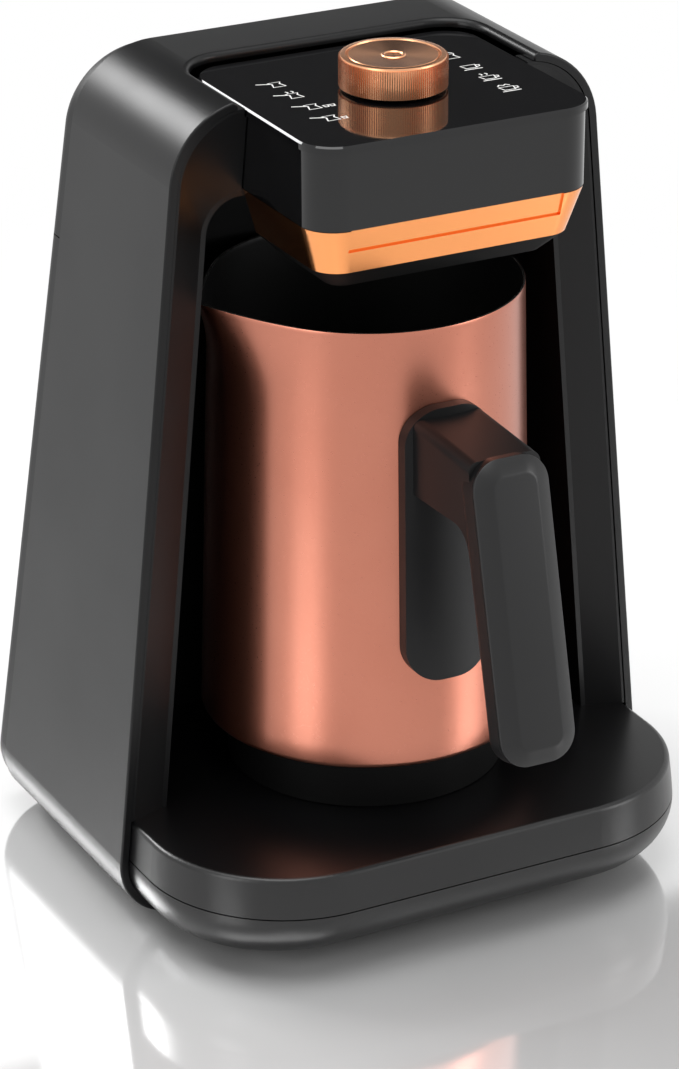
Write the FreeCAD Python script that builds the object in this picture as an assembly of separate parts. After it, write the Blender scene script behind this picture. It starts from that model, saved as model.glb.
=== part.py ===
import FreeCAD, Part
import math
import os

# Electric coffee maker for one pot of turkish coffee.
# Millimetres, +Z up, -Y towards the user. Lengths along Y are counted from the shell's front edge,
# and every piece is moved at the end so that the origin lies on the table under the middle of the whole.

V = FreeCAD.Vector

# How far cutters reach past what they cut, how deep fused pieces start inside each other,
# and how close a point is to a face that it lies on
beyond = 1.0
sink = 0.5
touching = 0.01

# Outer shell: a sleeve, narrower at the top, open at the front and the back
shell_height = 253.4
shell_half_at_table = 91.3
side_lean = 0.0957
shell_bottom = 2.5
shell_wall = 2.5
top_round = 24.8
bottom_round = 18.0
rear_at_table = 87.6
rear_lean = 0.0939
shell_edge_round = 0.6
sleeve_slot_half = 61.0
cutout_front = 20.0
fit_gap = 0.25

# Rear cover and rear cap behind the shell
rear_depth = 10.0
rear_inset = 0.6
rear_top_drop = 2.5
rear_round = 6.0
rear_wall = 2.2
rear_seam_height = 194.0
seam_gap = 0.4
vent_count = 7
vent_half_width = 24.0
vent_height = 2.2
vent_pitch = 5.2
vent_low = 118.0

# Base: deck above the seam, rounded pan below it
deck_top = 35.5
deck_thickness = 2.4
base_seam = 23.0
base_front = 58.6
base_front_round = 20.0
base_front_lean = 0.2
base_corner = 44.5
base_gap = 0.3
base_rear = 83.9
base_wall = 2.4
deck_edge_round = 1.6

# Feet
foot_radius = 8.0
foot_chamfer = 0.8
foot_x = 52.0
foot_front = 25.0
foot_rear = 64.0

# Front frame and the niche behind it
frame_set_back = 0.4
frame_bevel = 4.1
frame_rim = 0.8
frame_face = 7.5
niche_margin = 16.4
niche_half_at_table = shell_half_at_table - niche_margin
niche_lean = 0.088
niche_round = 11.0
niche_rear = 64.0
niche_wall = 2.0
niche_lip = 1.6

# Control panel and the head under it
panel_margin = 46.1
panel_half = shell_half_at_table - panel_margin
panel_front = 42.0
panel_rear = 39.3
panel_sink = 2.8
panel_top = shell_height - panel_sink
panel_thickness = 2.2
panel_corner = 11.0
panel_chamfer = 0.5
panel_gap = 2.4
cutout_round = 1.6
panel_overhang = 0.7
head_height = 24.8
head_bottom = panel_top - head_height
head_wall = 2.2
head_gap = 0.3
niche_top = head_bottom - head_gap - niche_wall

# Copper coloured trim band and the dark underside
trim_height = 13.6
trim_inset = 4.0
trim_wall = 1.8
trim_gap = 0.2
recess_margin = 11.4
recess_half = panel_half - recess_margin
recess_height = 7.0
recess_depth = 0.7
underside_height = 6.0
underside_inset = 6.0
underside_wall = 1.8
head_rear_gap = 0.5

# Foam sensor looking down into the pot
sensor_y = -14.0
sensor_radius = 4.1
sensor_height = 5.0
window_radius = 6.0
window_thickness = 1.2
sensor_boss_x = 9.0
sensor_board_reach = 12.0
sensor_eye_radius = 2.5
sensor_rise = 1.0
window_ledge = 1.2

# Control board with what stands on it
board_thickness = 1.6
board_depth = 9.0
board_top = panel_top - board_depth
control_board_margin = 5.2
control_board_half = panel_half - control_board_margin
control_board_front = 36.0
control_board_rear = 33.0
touch_margin = 16.7
touch_x = panel_half - touch_margin
touch_first = -18.0
touch_pitch = 11.1
touch_count = 4
touch_radius = 2.6
touch_wall = 0.5
lamp_radius = 1.1
lamp_height = 1.6
buzzer_radius = 6.0
buzzer_height = 4.6
buzzer_y = -27.0
buzzer_hole_radius = 1.2
boss_radius = 3.2
cover_boss_radius = 4.2
boss_margin = 10.2
boss_x = panel_half - boss_margin
boss_front = 30.0
boss_rear = 27.0
head_post_drop = 3.0

# Rotary knob and encoder
knob_y = -2.4
knob_radius = 15.6
knob_height = 9.4
knob_gap = 0.8
knob_wall = 1.5
knob_dish = 0.7
knob_edge = 0.5
knob_rim_width = 1.6
knob_groove_width = 0.6
knob_face_start = 3.0
knob_face_stop = 2.4
knob_hub_radius = 11.0
hub_gap = 0.02
hub_rise = 0.6
hub_rib_half = 0.8
hub_rib_count = 3
shaft_radius = 3.0
shaft_clearance = 0.06
shaft_drop = 1.0
press_travel = 0.6
encoder_half = 6.2
encoder_bush_radius = 4.4
encoder_drop = 0.6
bush_drop = 0.3
panel_hole_gap = 0.4
plunger_radius = 3.6
plunger_height = 1.0
plunger_rise = 2.4
plunger_clearance = 0.2
plunger_room_above = 0.6
plunger_room_below = 0.1

# Screws
screw_radius = 1.4
screw_head_radius = 2.7
screw_head_height = 1.8
screw_recess_radius = 0.98
screw_gap = 0.05
short_screw = 8.0
head_screw_length = 9.0
cover_screw_length = 12.0
base_screw_length = 14.0
base_screw_x = 38.0
base_screw_front = 24.0
base_screw_rear = 62.0
cover_screw_low = 60.0
cover_screw_high = rear_seam_height - 18.0
cover_screw_inset = 26.6
head_screw_margin = 15.2
head_screw_x = panel_half - head_screw_margin
head_screw_near = 14.0
head_screw_far = 31.0

# Power board behind the niche
power_half = 50.0
power_low = 58.0
power_high = 146.0
standoff = 3.5
standoff_x = 44.0
standoff_edge = 7.0
relay_size = (18.0, 13.0, 16.0)
relay_x = -14.0
low_row = power_low + 5.0
transformer_size = (26.0, 14.0, 24.0)
transformer_x = 14.0
winding_width = 29.0
winding_depth = 10.0
terminal_size = (24.0, 11.0, 10.0)
terminal_low = power_low + 40.0
capacitor_radius = 6.0
capacitor_length = 18.0
capacitor_x = 30.0
capacitor_low = power_low + 50.0

# Ribbon cable from the control board to the power board
ribbon_width = 12.0
ribbon_thickness = 1.0
ribbon_start = 12.0
ribbon_behind_panel = 6.0
ribbon_lift = 4.0
ribbon_stop = 12.0

# Bushing where the mains cord leaves
bushing_x = 52.0
bushing_z = 24.0
bushing_radius = 5.0
bushing_bore = 3.4
bushing_flange_radius = 7.0
bushing_flange = 2.0
bushing_inside = 5.0
bushing_stand_off = 1.0

# Socket at the back of the niche and the plug in the pot base
socket_z = 43.0
nose_half = 11.5
nose_height = 6.0
plug_reach = 2.0
plug_pocket_depth = 11.5
pin_length_inside = 3.5
pin_length_outside = 9.5
pin_pitch = 7.0
pin_radius = 1.15
pin_clearance = 0.15
pin_chamfer = 0.4
contact_wall = 0.5
socket_block_half = 16.0
socket_block_depth = 7.0
socket_block_rim = 3.0
contact_start = 1.0
contact_tail = 2.0
contact_stop = 4.0
socket_gap = 1.2
lead_radius = 0.9
lead_bend = 3.0
lead_end_rise = 2.0
pocket_wall = 1.3
pocket_clearance = 0.05

# Pot
pot_y = 13.5
pot_radius = 46.6
pot_foot_radius = 50.0
pot_wall = 0.9
pot_rim = 188.6
pot_floor = 52.0
pot_floor_thickness = 1.2
pot_foot_round = 2.0
spout_reach = 8.0
spout_drop = 32.0
spout_tip = 4.0
spout_foot_share = 0.04
spout_root = 2.0
spout_overlap = 0.3
spout_least_tip = 0.5
pot_flange_radius = 45.4
pot_flange = 1.6
pot_base_radius = 42.0
pot_base_wall = 2.5
pot_lift = 0.3
lid_thickness = 2.2
heater_radius = 35.0
heater_thickness = 1.2
heater_tube_ring = 23.5
heater_tube = 2.6
heater_gap_half = 6.0
thermostat_radius = 8.0
thermostat_height = 4.5
lid_screw_count = 3
lid_post_drop = 2.0

# Handle: a plate on the pot, an arm forwards, and a grip that hangs from it
plate_half = 13.8
plate_low = 81.0
plate_high = 166.0
plate_round = 11.0
plate_depth = 3.8
pot_skin_gap = 0.15
bracket_half = 7.0
bracket_low = 98.0
bracket_high = 158.0
bracket_depth = 1.4
bracket_gap = 0.02
grip_half = 12.0
grip_length = 89.0
grip_middle_y = -80.5
grip_middle_z = 119.6
grip_lean = 14.0
grip_depth = 8.5
grip_corner = 8.5
grip_back_round = 3.5
arm_half = 11.5
arm_top = 163.6
arm_drop = 22.0
arm_round = 3.0
arm_inner_round = 9.0
arm_sink = 1.6
cover_rim = 0.9
cover_rise = 3.2
cover_bevel = 4.9
cover_gap = 0.15
handle_screw_z = 153.0
handle_screw_sink = 6.0
handle_screw_short = 0.4
arm_root = 1.0
cover_edge_round = 0.5


# Helpers


def unit(v):
    return v * (1.0 / v.Length)


def rounded_corner(before, point, after, radius):
    """Start, middle and end of the arc that rounds one corner."""
    if radius <= 0:
        return point, point, point
    a = unit(before - point)
    b = unit(after - point)
    half = a.getAngle(b) / 2
    inward = unit(a + b)
    run = radius / math.tan(half)
    centre = point + inward * (radius / math.sin(half))
    return point + a * run, centre - inward * radius, point + b * run


def rounded_wire(points, radii):
    """Closed flat wire through the points, each corner rounded by its own radius."""
    count = len(points)
    corners = []
    for i in range(count):
        after = points[(i + 1) % count]
        corners.append(rounded_corner(points[i - 1], points[i], after, radii[i]))
    edges = []
    for i in range(count):
        start, middle, stop = corners[i]
        following = corners[(i + 1) % count][0]
        if (stop - start).Length > 1e-6:
            edges.append(Part.Arc(start, middle, stop).toShape())
        if (following - stop).Length > 1e-6:
            edges.append(Part.LineSegment(stop, following).toShape())
    return Part.Wire(edges)


def prism(wire, x, y, z):
    return Part.Face(wire).extrude(V(x, y, z))


def block(x0, x1, y0, y1, z0, z1):
    return Part.makeBox(x1 - x0, y1 - y0, z1 - z0, V(x0, y0, z0))


def upright(radius, x, y, z0, z1):
    return Part.makeCylinder(radius, z1 - z0, V(x, y, z0))


def along_y(radius, x, z, y0, y1):
    return Part.makeCylinder(radius, y1 - y0, V(x, y0, z), V(0, 1, 0))


def plan_wire(half, front, rear, front_round, rear_round, z):
    """Rounded rectangle seen from above, symmetric about the middle plane."""
    points = [V(-half, front, z), V(half, front, z), V(half, rear, z), V(-half, rear, z)]
    return rounded_wire(points, [front_round, front_round, rear_round, rear_round])


def section_wire(half, low, high, low_round, high_round, y):
    """Trapezoid seen from the front; half is a function of height."""
    points = [V(-half(low), y, low), V(half(low), y, low), V(half(high), y, high), V(-half(high), y, high)]
    return rounded_wire(points, [low_round, low_round, high_round, high_round])


def joined(shapes):
    shape = shapes[0]
    for other in shapes[1:]:
        shape = shape.fuse(other)
    return shape.removeSplitter()


def edges_where(shape, test):
    """Edges whose ends and middle all pass the test."""
    found = []
    for edge in shape.Edges:
        middle = edge.valueAt((edge.FirstParameter + edge.LastParameter) / 2)
        points = [vertex.Point for vertex in edge.Vertexes] + [middle]
        if all(test(p) for p in points):
            found.append(edge)
    return found


def screw(tip, axis, length):
    """Pan head screw: the tip point, the direction towards the head, and the shank's length."""
    seat = tip + axis * length
    top = seat + axis * screw_head_height
    shank = Part.makeCylinder(screw_radius, length, tip, axis)
    head = Part.makeCylinder(screw_head_radius, screw_head_height, seat, axis)
    recess = Part.makeCylinder(screw_recess_radius, screw_head_height / 2, top, axis * -1)
    return shank.fuse(head).removeSplitter().cut(recess)


def screw_hole(shape, spots, low, high):
    """Cuts an upright screw hole at each of the spots."""
    for x, y in spots:
        shape = shape.cut(upright(screw_radius + screw_gap, x, y, low, high))
    return shape


# Outer form shared by the shell, the frame and the rear


def body_half(z):
    return shell_half_at_table - side_lean * z


def rear_y(z):
    return rear_at_table - rear_lean * z


def body_prism(inset, low, high, low_round, high_round, y0, y1):
    wire = section_wire(lambda z: body_half(z) - inset, low, high, low_round, high_round, y0)
    return prism(wire, 0, y1 - y0, 0)


def slanted_slab(front, offset_front, offset_rear):
    """Everything between two planes parallel to the leaning rear; front overrides the first plane."""
    low = -shell_bottom - beyond
    high = shell_height + beyond
    reach = shell_half_at_table + beyond
    y_low = rear_y(low) + offset_front if front is None else front
    y_high = rear_y(high) + offset_front if front is None else front
    points = [
        V(-reach, y_low, low),
        V(-reach, rear_y(low) + offset_rear, low),
        V(-reach, rear_y(high) + offset_rear, high),
        V(-reach, y_high, high),
    ]
    return prism(rounded_wire(points, [0, 0, 0, 0]), 2 * reach, 0, 0)


def shell_top_z(x):
    """Height of the shell's outer surface above a place across it."""
    centre_z = shell_height - top_round
    slope = math.sqrt(1 + side_lean * side_lean)
    centre_x = body_half(centre_z) - top_round * slope
    out = max(abs(x) - centre_x, 0)
    return centre_z + math.sqrt(max(top_round * top_round - out * out, 0))


def make_shell():
    far = rear_at_table + rear_depth
    outer = body_prism(0, shell_bottom, shell_height, bottom_round, top_round, 0, far)
    outer = outer.common(slanted_slab(0, 0, 0))
    inner = body_prism(
        shell_wall,
        shell_bottom + shell_wall,
        shell_height - shell_wall,
        bottom_round - shell_wall,
        top_round - shell_wall,
        -beyond,
        far + beyond,
    )
    shell = outer.cut(inner).cut(cutout())
    shell = shell.makeFillet(cutout_round, edges_where(shell, on_cutout_rim))
    front = edges_where(shell, lambda p: abs(p.y) < touching)
    outside = [edge for edge in front if is_outside(edge)]
    shell = shell.makeFillet(shell_edge_round, outside)
    slot_top = shell_bottom + shell_wall + beyond
    return shell.cut(block(-sleeve_slot_half, sleeve_slot_half, -beyond, far + beyond, 0, slot_top))


def cutout():
    """What the panel's opening takes out of the top of the shell."""
    half = panel_half + panel_gap
    low = panel_top - panel_thickness - shell_wall
    wire = plan_wire(half, -cutout_front, panel_rear + panel_gap, 0, panel_corner + panel_gap, low)
    return prism(wire, 0, 0, shell_height)


def on_cutout_rim(p):
    """Whether a point is on the upper edge of the panel's opening."""
    if abs(p.x) > panel_half + panel_gap + touching or p.y > panel_rear + panel_gap + touching:
        return False
    return abs(p.z - shell_top_z(p.x)) < 2 * touching


def is_outside(edge):
    """Whether an edge of the shell's front lies on its outer surface."""
    p = edge.valueAt((edge.FirstParameter + edge.LastParameter) / 2)
    inner_half = body_half(p.z) - shell_wall / 2
    high = shell_top_z(p.x) - shell_wall / 2
    if p.z > shell_height - top_round:
        return p.z > high or abs(p.x) > inner_half
    if p.z < shell_bottom + bottom_round:
        centre_x = body_half(shell_bottom + bottom_round) - bottom_round
        out = max(abs(p.x) - centre_x, 0)
        return math.hypot(out, p.z - shell_bottom - bottom_round) > bottom_round - shell_wall / 2
    return abs(p.x) > inner_half


def rear_form(inset, offset_front, depth, rounding):
    low = shell_bottom + seam_gap + inset
    high = shell_height - rear_top_drop - inset
    side = rear_inset + inset
    far = rear_at_table + 2 * rear_depth
    form = body_prism(side, low, high, bottom_round - inset, top_round - inset, 0, far)
    form = form.common(slanted_slab(None, offset_front, depth))
    back = edges_where(form, lambda p: abs(p.y - rear_y(p.z) - depth) < touching)
    return form.makeFillet(rounding, back)


def rear_casing():
    outer = rear_form(0, fit_gap, rear_depth, rear_round)
    inner = rear_form(rear_wall, -beyond, rear_depth - rear_wall, rear_round - rear_wall)
    return outer.cut(inner)


def cover_screw_spots():
    spots = []
    for z in (cover_screw_low, cover_screw_high):
        x = body_half(z) - cover_screw_inset
        spots.append((-x, z))
        spots.append((x, z))
    return spots


def make_rear_cap(casing):
    reach = shell_half_at_table
    far = rear_at_table + 2 * rear_depth
    return casing.common(block(-reach, reach, 0, far, rear_seam_height + seam_gap / 2, shell_height))


def make_rear_cover(casing):
    reach = shell_half_at_table
    far = rear_at_table + 2 * rear_depth
    cover = casing.common(block(-reach, reach, 0, far, 0, rear_seam_height - seam_gap / 2))
    for i in range(vent_count):
        z = vent_low + i * vent_pitch
        cover = cover.cut(block(-vent_half_width, vent_half_width, niche_rear, far, z, z + vent_height))
    for x, z in cover_screw_spots():
        cover = cover.cut(along_y(screw_radius + screw_gap, x, z, niche_rear, far))
        head_seat = rear_y(z) + rear_depth - rear_wall / 2
        cover = cover.cut(along_y(screw_head_radius + screw_gap, x, z, head_seat, far))
    return cover.cut(along_y(bushing_radius + screw_gap, bushing_x, bushing_z, niche_rear, far))


# Base


def base_bottom():
    return shell_bottom + shell_wall + base_gap


def base_side(z):
    """Half width of the base: it follows the inside of the shell, rounded at the bottom."""
    clearance = shell_wall + base_gap
    radius = bottom_round - clearance
    centre_z = base_bottom() + radius
    if z >= centre_z:
        return body_half(z) - clearance
    drop = min(centre_z - z, radius)
    return body_half(centre_z) - bottom_round + math.sqrt(radius * radius - drop * drop)


def base_reach(z):
    """How far the base reaches in front of the shell."""
    centre_z = base_bottom() + base_front_round
    if z >= centre_z:
        return base_front - base_front_lean * (z - centre_z)
    drop = min(centre_z - z, base_front_round)
    return base_front - base_front_round + math.sqrt(base_front_round ** 2 - drop * drop)


def base_wire(z, inset):
    widest = base_side(base_bottom() + bottom_round - shell_wall - base_gap)
    shrink = (base_front - base_reach(z) + widest - base_side(z)) / 2
    corner = base_corner - shrink - inset
    return plan_wire(base_side(z) - inset, -base_reach(z) + inset, base_rear - inset, corner, 0, z)


def pan_heights(low):
    """Heights of the pan's sections, closer together where it curves under."""
    top = base_seam - seam_gap / 2
    centre_z = base_bottom() + base_front_round
    heights = [low]
    for angle in (74, 60, 45, 30, 15):
        z = centre_z - base_front_round * math.sin(math.radians(angle))
        if low + sink < z < top - beyond:
            heights.append(z)
    return heights + [top]


def base_screw_spots():
    spots = []
    for side in (-1, 1):
        for y in (-base_screw_front, base_screw_rear):
            spots.append((side * base_screw_x, y))
    return spots


def make_pan():
    outer = Part.makeLoft([base_wire(z, 0) for z in pan_heights(base_bottom())], True, False)
    floor_top = base_bottom() + base_wall
    heights = pan_heights(floor_top) + [base_seam + beyond]
    pan = outer.cut(Part.makeLoft([base_wire(z, base_wall) for z in heights], True, False))
    for x, y in base_screw_spots():
        pan = pan.cut(upright(screw_head_radius + screw_gap, x, y, 0, base_bottom() + screw_head_height / 2))
    return screw_hole(pan, base_screw_spots(), 0, floor_top + beyond)


def make_deck():
    low = base_seam + seam_gap / 2
    middle = (low + deck_top) / 2
    deck = Part.makeLoft([base_wire(low, 0), base_wire(middle, 0), base_wire(deck_top, 0)], True, False)
    rim = edges_where(deck, lambda p: abs(p.z - deck_top) < touching)
    all_but_rear = [edge for edge in rim if edge.BoundBox.YMin < base_rear - beyond]
    deck = deck.makeFillet(deck_edge_round, all_but_rear)
    under = deck_top - deck_thickness
    hollow = [base_wire(low - beyond, base_wall), base_wire(middle, base_wall), base_wire(under, base_wall)]
    deck = deck.cut(Part.makeLoft(hollow, True, False))
    boss_low = base_bottom() + base_wall + fit_gap
    for x, y in base_screw_spots():
        deck = deck.fuse(upright(boss_radius, x, y, boss_low, under + sink))
    return screw_hole(deck, base_screw_spots(), 0, under).removeSplitter()


def make_foot(x, y):
    foot = upright(foot_radius, x, y, 0, base_bottom())
    edge = edges_where(foot, lambda p: p.z < touching)
    return foot.makeChamfer(foot_chamfer, edge)


# Front frame with the niche


def niche_half(z):
    return niche_half_at_table - niche_lean * z


def niche_wire(grow, y):
    low = deck_top - beyond if grow < niche_wall else deck_top
    return section_wire(lambda z: niche_half(z) + grow, low, niche_top + grow, 0, niche_round + grow, y)


def frame_plate():
    inset = shell_wall + fit_gap
    high = shell_height - inset
    plate = body_prism(inset, deck_top, high, 0, top_round - inset, frame_set_back, frame_face)
    start = frame_set_back - touching
    low = deck_top - beyond
    outside = section_wire(
        lambda z: body_half(z) - inset - frame_rim, low, high - frame_rim, 0, top_round - inset, start,
    )
    inside = section_wire(
        lambda z: niche_half(z) + niche_lip, low, niche_top + niche_lip, 0, niche_round + niche_lip,
        frame_set_back + frame_bevel,
    )
    return plate.cut(Part.makeLoft([outside, inside], True, True))


def niche_tunnel():
    start = frame_set_back + frame_bevel + sink
    back = niche_rear + niche_wall
    return prism(niche_wire(niche_wall, start), 0, back - start, 0)


def standoff_spots():
    spots = []
    for x in (-standoff_x, standoff_x):
        for z in (power_low + standoff_edge, power_high - standoff_edge):
            spots.append((x, z))
    return spots


def make_frame():
    back = niche_rear + niche_wall
    frame = frame_plate().fuse(niche_tunnel())
    frame = frame.cut(prism(niche_wire(0, -beyond), 0, niche_rear + beyond, 0))
    far = rear_at_table + rear_depth
    inside_cover = slanted_slab(0, 0, rear_depth - rear_wall - fit_gap)
    for x, z in cover_screw_spots():
        frame = frame.fuse(along_y(cover_boss_radius, x, z, back - sink, far).common(inside_cover))
    for x, z in standoff_spots():
        frame = frame.fuse(along_y(boss_radius, x, z, back - sink, back + standoff))
    frame = frame.removeSplitter()
    for x, z in cover_screw_spots() + standoff_spots():
        frame = frame.cut(along_y(screw_radius + screw_gap, x, z, back + fit_gap, far))
    for opening in frame_openings():
        frame = frame.cut(opening)
    return screw_hole(frame, head_screw_spots(), niche_top - beyond, head_bottom)


def frame_openings():
    """Room for the head, the panel and the socket's nose."""
    back = niche_rear + niche_wall
    front = -beyond
    behind = frame_face + beyond
    head = head_half() + head_gap
    panel = panel_half + head_gap
    nose = nose_half + fit_gap
    rise = nose_height / 2 + fit_gap
    under_panel = panel_top - panel_thickness - head_gap
    return [
        block(-head, head, front, behind, head_bottom - head_gap, shell_height),
        block(-panel, panel, front, behind, under_panel, shell_height),
        block(-nose, nose, niche_rear - beyond, back + beyond, socket_z - rise, socket_z + rise),
    ]


# Head


def head_half():
    return panel_half - panel_overhang


def head_front():
    return panel_front - panel_overhang


def head_corner():
    return panel_corner - panel_overhang


def head_screw_spots():
    return [(side * head_screw_x, y) for side in (-1, 1) for y in (head_screw_near, head_screw_far)]


def board_boss_spots():
    return [(side * boss_x, y) for side in (-1, 1) for y in (-boss_front, boss_rear)]


def make_housing():
    floor = head_bottom + head_wall
    under_board = board_top - board_thickness
    post_top = under_board - head_post_drop
    housing = housing_tub()
    for x, y in board_boss_spots():
        housing = housing.fuse(upright(boss_radius, x, y, floor - sink, under_board))
    for x, y in head_screw_spots():
        housing = housing.fuse(upright(boss_radius, x, y, floor - sink, post_top))
    housing = screw_hole(housing, board_boss_spots(), floor, under_board + beyond)
    housing = screw_hole(housing, head_screw_spots(), head_bottom - beyond, post_top - beyond)
    wire_hole = upright(sensor_eye_radius, 0, sensor_y, head_bottom - beyond, floor + beyond)
    return housing.removeSplitter().cut(ribbon_exit(under_board)).cut(wire_hole)


def ribbon_exit(under_board):
    """Slot in the housing's rear wall for the ribbon cable."""
    half = ribbon_width / 2 + beyond
    rear = panel_rear - panel_overhang
    low = under_board - ribbon_thickness - beyond
    return block(-half, half, rear - head_wall - beyond, rear + beyond, low, under_board + sink)


def housing_tub():
    rear = panel_rear - panel_overhang
    corner = head_corner()
    height = panel_top - panel_thickness - head_bottom
    outer = prism(plan_wire(head_half(), -head_front(), rear, corner, corner, head_bottom), 0, 0, height)
    inner_wire = plan_wire(
        head_half() - head_wall, -head_front() + head_wall, rear - head_wall,
        corner - head_wall, corner - head_wall, head_bottom + head_wall,
    )
    return outer.cut(prism(inner_wire, 0, 0, height))


def head_rear():
    """Where the trim and the underside end, just in front of the niche."""
    return frame_set_back + frame_bevel - head_rear_gap


def head_ring(z0, inset0, z1, inset1, rear_gap=0.0):
    """Tapered block below the head, from one height and inset to another."""
    rear = head_rear() - rear_gap
    wires = []
    for z, inset in ((z0, inset0), (z1, inset1)):
        corner = head_corner() - inset / 2
        wires.append(plan_wire(head_half() - inset, -head_front() + inset, rear, corner, 0, z))
    return Part.makeLoft(wires, True, True)


def make_trim():
    high = head_bottom - trim_gap
    low = high - trim_height
    trim = head_ring(low, trim_inset, high, 0)
    skin = trim.cut(trim_core(low, high, recess_depth))
    front = -head_front()
    window = block(
        -recess_half, recess_half, front - beyond, front + head_corner(), high - recess_height, high + beyond,
    )
    return trim.cut(trim_core(low, high, trim_wall)).cut(skin.common(window))


def trim_core(low, high, wall):
    """What is inside the trim, a wall's thickness from its face."""
    slope = beyond * trim_inset / trim_height
    return head_ring(low - beyond, trim_inset + slope + wall, high + beyond, wall - slope, -beyond)


def underside_back_wall():
    """Upright wall that closes the hollow of the trim towards the niche."""
    low = underside_low() + underside_height - sink
    high = head_bottom - trim_gap
    gap = trim_wall + trim_gap
    slope = trim_inset / trim_height
    inset = gap + slope * (high - low)
    ring = head_ring(low, inset, high, gap)
    return ring.cut(head_ring(low - beyond, 0, high + beyond, 0, underside_wall))


def make_underside():
    high = underside_low() + underside_height
    low = underside_low()
    inset = trim_inset + trim_gap
    tray = head_ring(low, inset + underside_inset, high, inset)
    slope = underside_inset / underside_height
    floor = low + underside_wall
    hollow_inset = inset + underside_wall + underside_inset - slope * underside_wall
    hollow_top = inset + underside_wall - beyond * slope
    hollow = head_ring(floor, hollow_inset, high + beyond, hollow_top, underside_wall)
    tray = tray.cut(hollow).fuse(underside_back_wall())
    for side in (-1, 1):
        tray = tray.fuse(upright(boss_radius, side * sensor_boss_x, sensor_y, floor - sink, sensor_board_z()))
    sight = upright(window_radius - window_ledge, 0, sensor_y, low - beyond, floor + beyond)
    seat = upright(window_radius + screw_gap, 0, sensor_y, floor - window_thickness, floor + beyond)
    return tray.removeSplitter().cut(sight).cut(seat)


def underside_low():
    return head_bottom - 2 * trim_gap - trim_height - underside_height


def sensor_board_z():
    return underside_low() + underside_wall + sensor_rise + sensor_height


def make_window():
    top = underside_low() + underside_wall
    return upright(window_radius, 0, sensor_y, top - window_thickness, top)


def make_sensor():
    top = sensor_board_z()
    can = upright(sensor_radius, 0, sensor_y, top - sensor_height, top)
    low = top - sensor_height
    return can.cut(upright(sensor_eye_radius, 0, sensor_y, low - beyond, low + sink))


def make_sensor_board():
    z = sensor_board_z()
    half_depth = window_radius
    reach = sensor_board_reach
    return block(-reach, reach, sensor_y - half_depth, sensor_y + half_depth, z, z + board_thickness)


def make_panel():
    low = panel_top - panel_thickness
    wire = plan_wire(panel_half, -panel_front, panel_rear, panel_corner, panel_corner, low)
    panel = prism(wire, 0, 0, panel_thickness)
    panel = panel.makeChamfer(panel_chamfer, edges_where(panel, lambda p: abs(p.z - panel_top) < touching))
    hole_radius = encoder_bush_radius + panel_hole_gap
    return panel.cut(upright(hole_radius, 0, knob_y, low - beyond, panel_top + beyond))


# Control board


def make_control_board():
    low = board_top - board_thickness
    half = control_board_half
    board = block(-half, half, -control_board_front, control_board_rear, low, board_top)
    return screw_hole(board, board_boss_spots(), low - beyond, board_top + beyond)


def touch_spots():
    rows = [touch_first + i * touch_pitch for i in range(touch_count)]
    return [(side * touch_x, y) for side in (-1, 1) for y in rows]


def make_touch_springs():
    high = panel_top - panel_thickness
    springs = []
    for x, y in touch_spots():
        outer = upright(touch_radius, x, y, board_top, high)
        springs.append(outer.cut(upright(touch_radius - touch_wall, x, y, board_top, high)))
    return Part.makeCompound(springs)


def make_lamps():
    lamps = [upright(lamp_radius, x, y, board_top, board_top + lamp_height) for x, y in touch_spots()]
    return Part.makeCompound(lamps)


def make_buzzer():
    top = board_top + buzzer_height
    buzzer = upright(buzzer_radius, 0, buzzer_y, board_top, top)
    return buzzer.cut(upright(buzzer_hole_radius, 0, buzzer_y, top - beyond, top + beyond))


def plunger_top():
    return board_top + plunger_rise


def make_encoder():
    half = encoder_half
    can_top = panel_top - panel_thickness - encoder_drop
    can = block(-half, half, knob_y - half, knob_y + half, board_top, can_top)
    bush = upright(encoder_bush_radius, 0, knob_y, can_top - sink, panel_top - bush_drop)
    low = plunger_top() - plunger_height - press_travel - plunger_room_below
    high = plunger_top() + plunger_room_above
    chamber = upright(plunger_radius + plunger_clearance, 0, knob_y, low, high)
    bore = upright(shaft_radius + shaft_clearance, 0, knob_y, low, panel_top + beyond)
    return can.fuse(bush).removeSplitter().cut(chamber).cut(bore)


def make_plunger():
    top = plunger_top()
    return upright(plunger_radius, 0, knob_y, top - plunger_height, top)


# Knob


def knob_low():
    return panel_top + knob_gap


def make_knob_body():
    low = knob_low()
    high = low + knob_height
    inside = knob_radius - knob_wall
    groove = knob_radius - knob_rim_width - knob_groove_width
    profile = [
        V(inside, 0, low),
        V(knob_radius, 0, low),
        V(knob_radius, 0, high - knob_edge),
        V(knob_radius - knob_edge, 0, high),
        V(knob_radius - knob_rim_width, 0, high),
        V(groove, 0, high - knob_dish),
        V(knob_radius - knob_face_start, 0, high - knob_dish / 2),
        V(knob_face_stop, 0, high - knob_dish),
        V(0, 0, high - knob_dish),
        V(0, 0, knob_ceiling()),
        V(inside, 0, knob_ceiling()),
    ]
    wire = Part.makePolygon(profile + [profile[0]])
    knob = Part.Face(wire).revolve(V(0, 0, 0), V(0, 0, 1), 360)
    knob.translate(V(0, knob_y, 0))
    return knob


def knob_ceiling():
    """The flat face inside the hollow knob."""
    return knob_low() + knob_height - knob_dish - knob_wall


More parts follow.
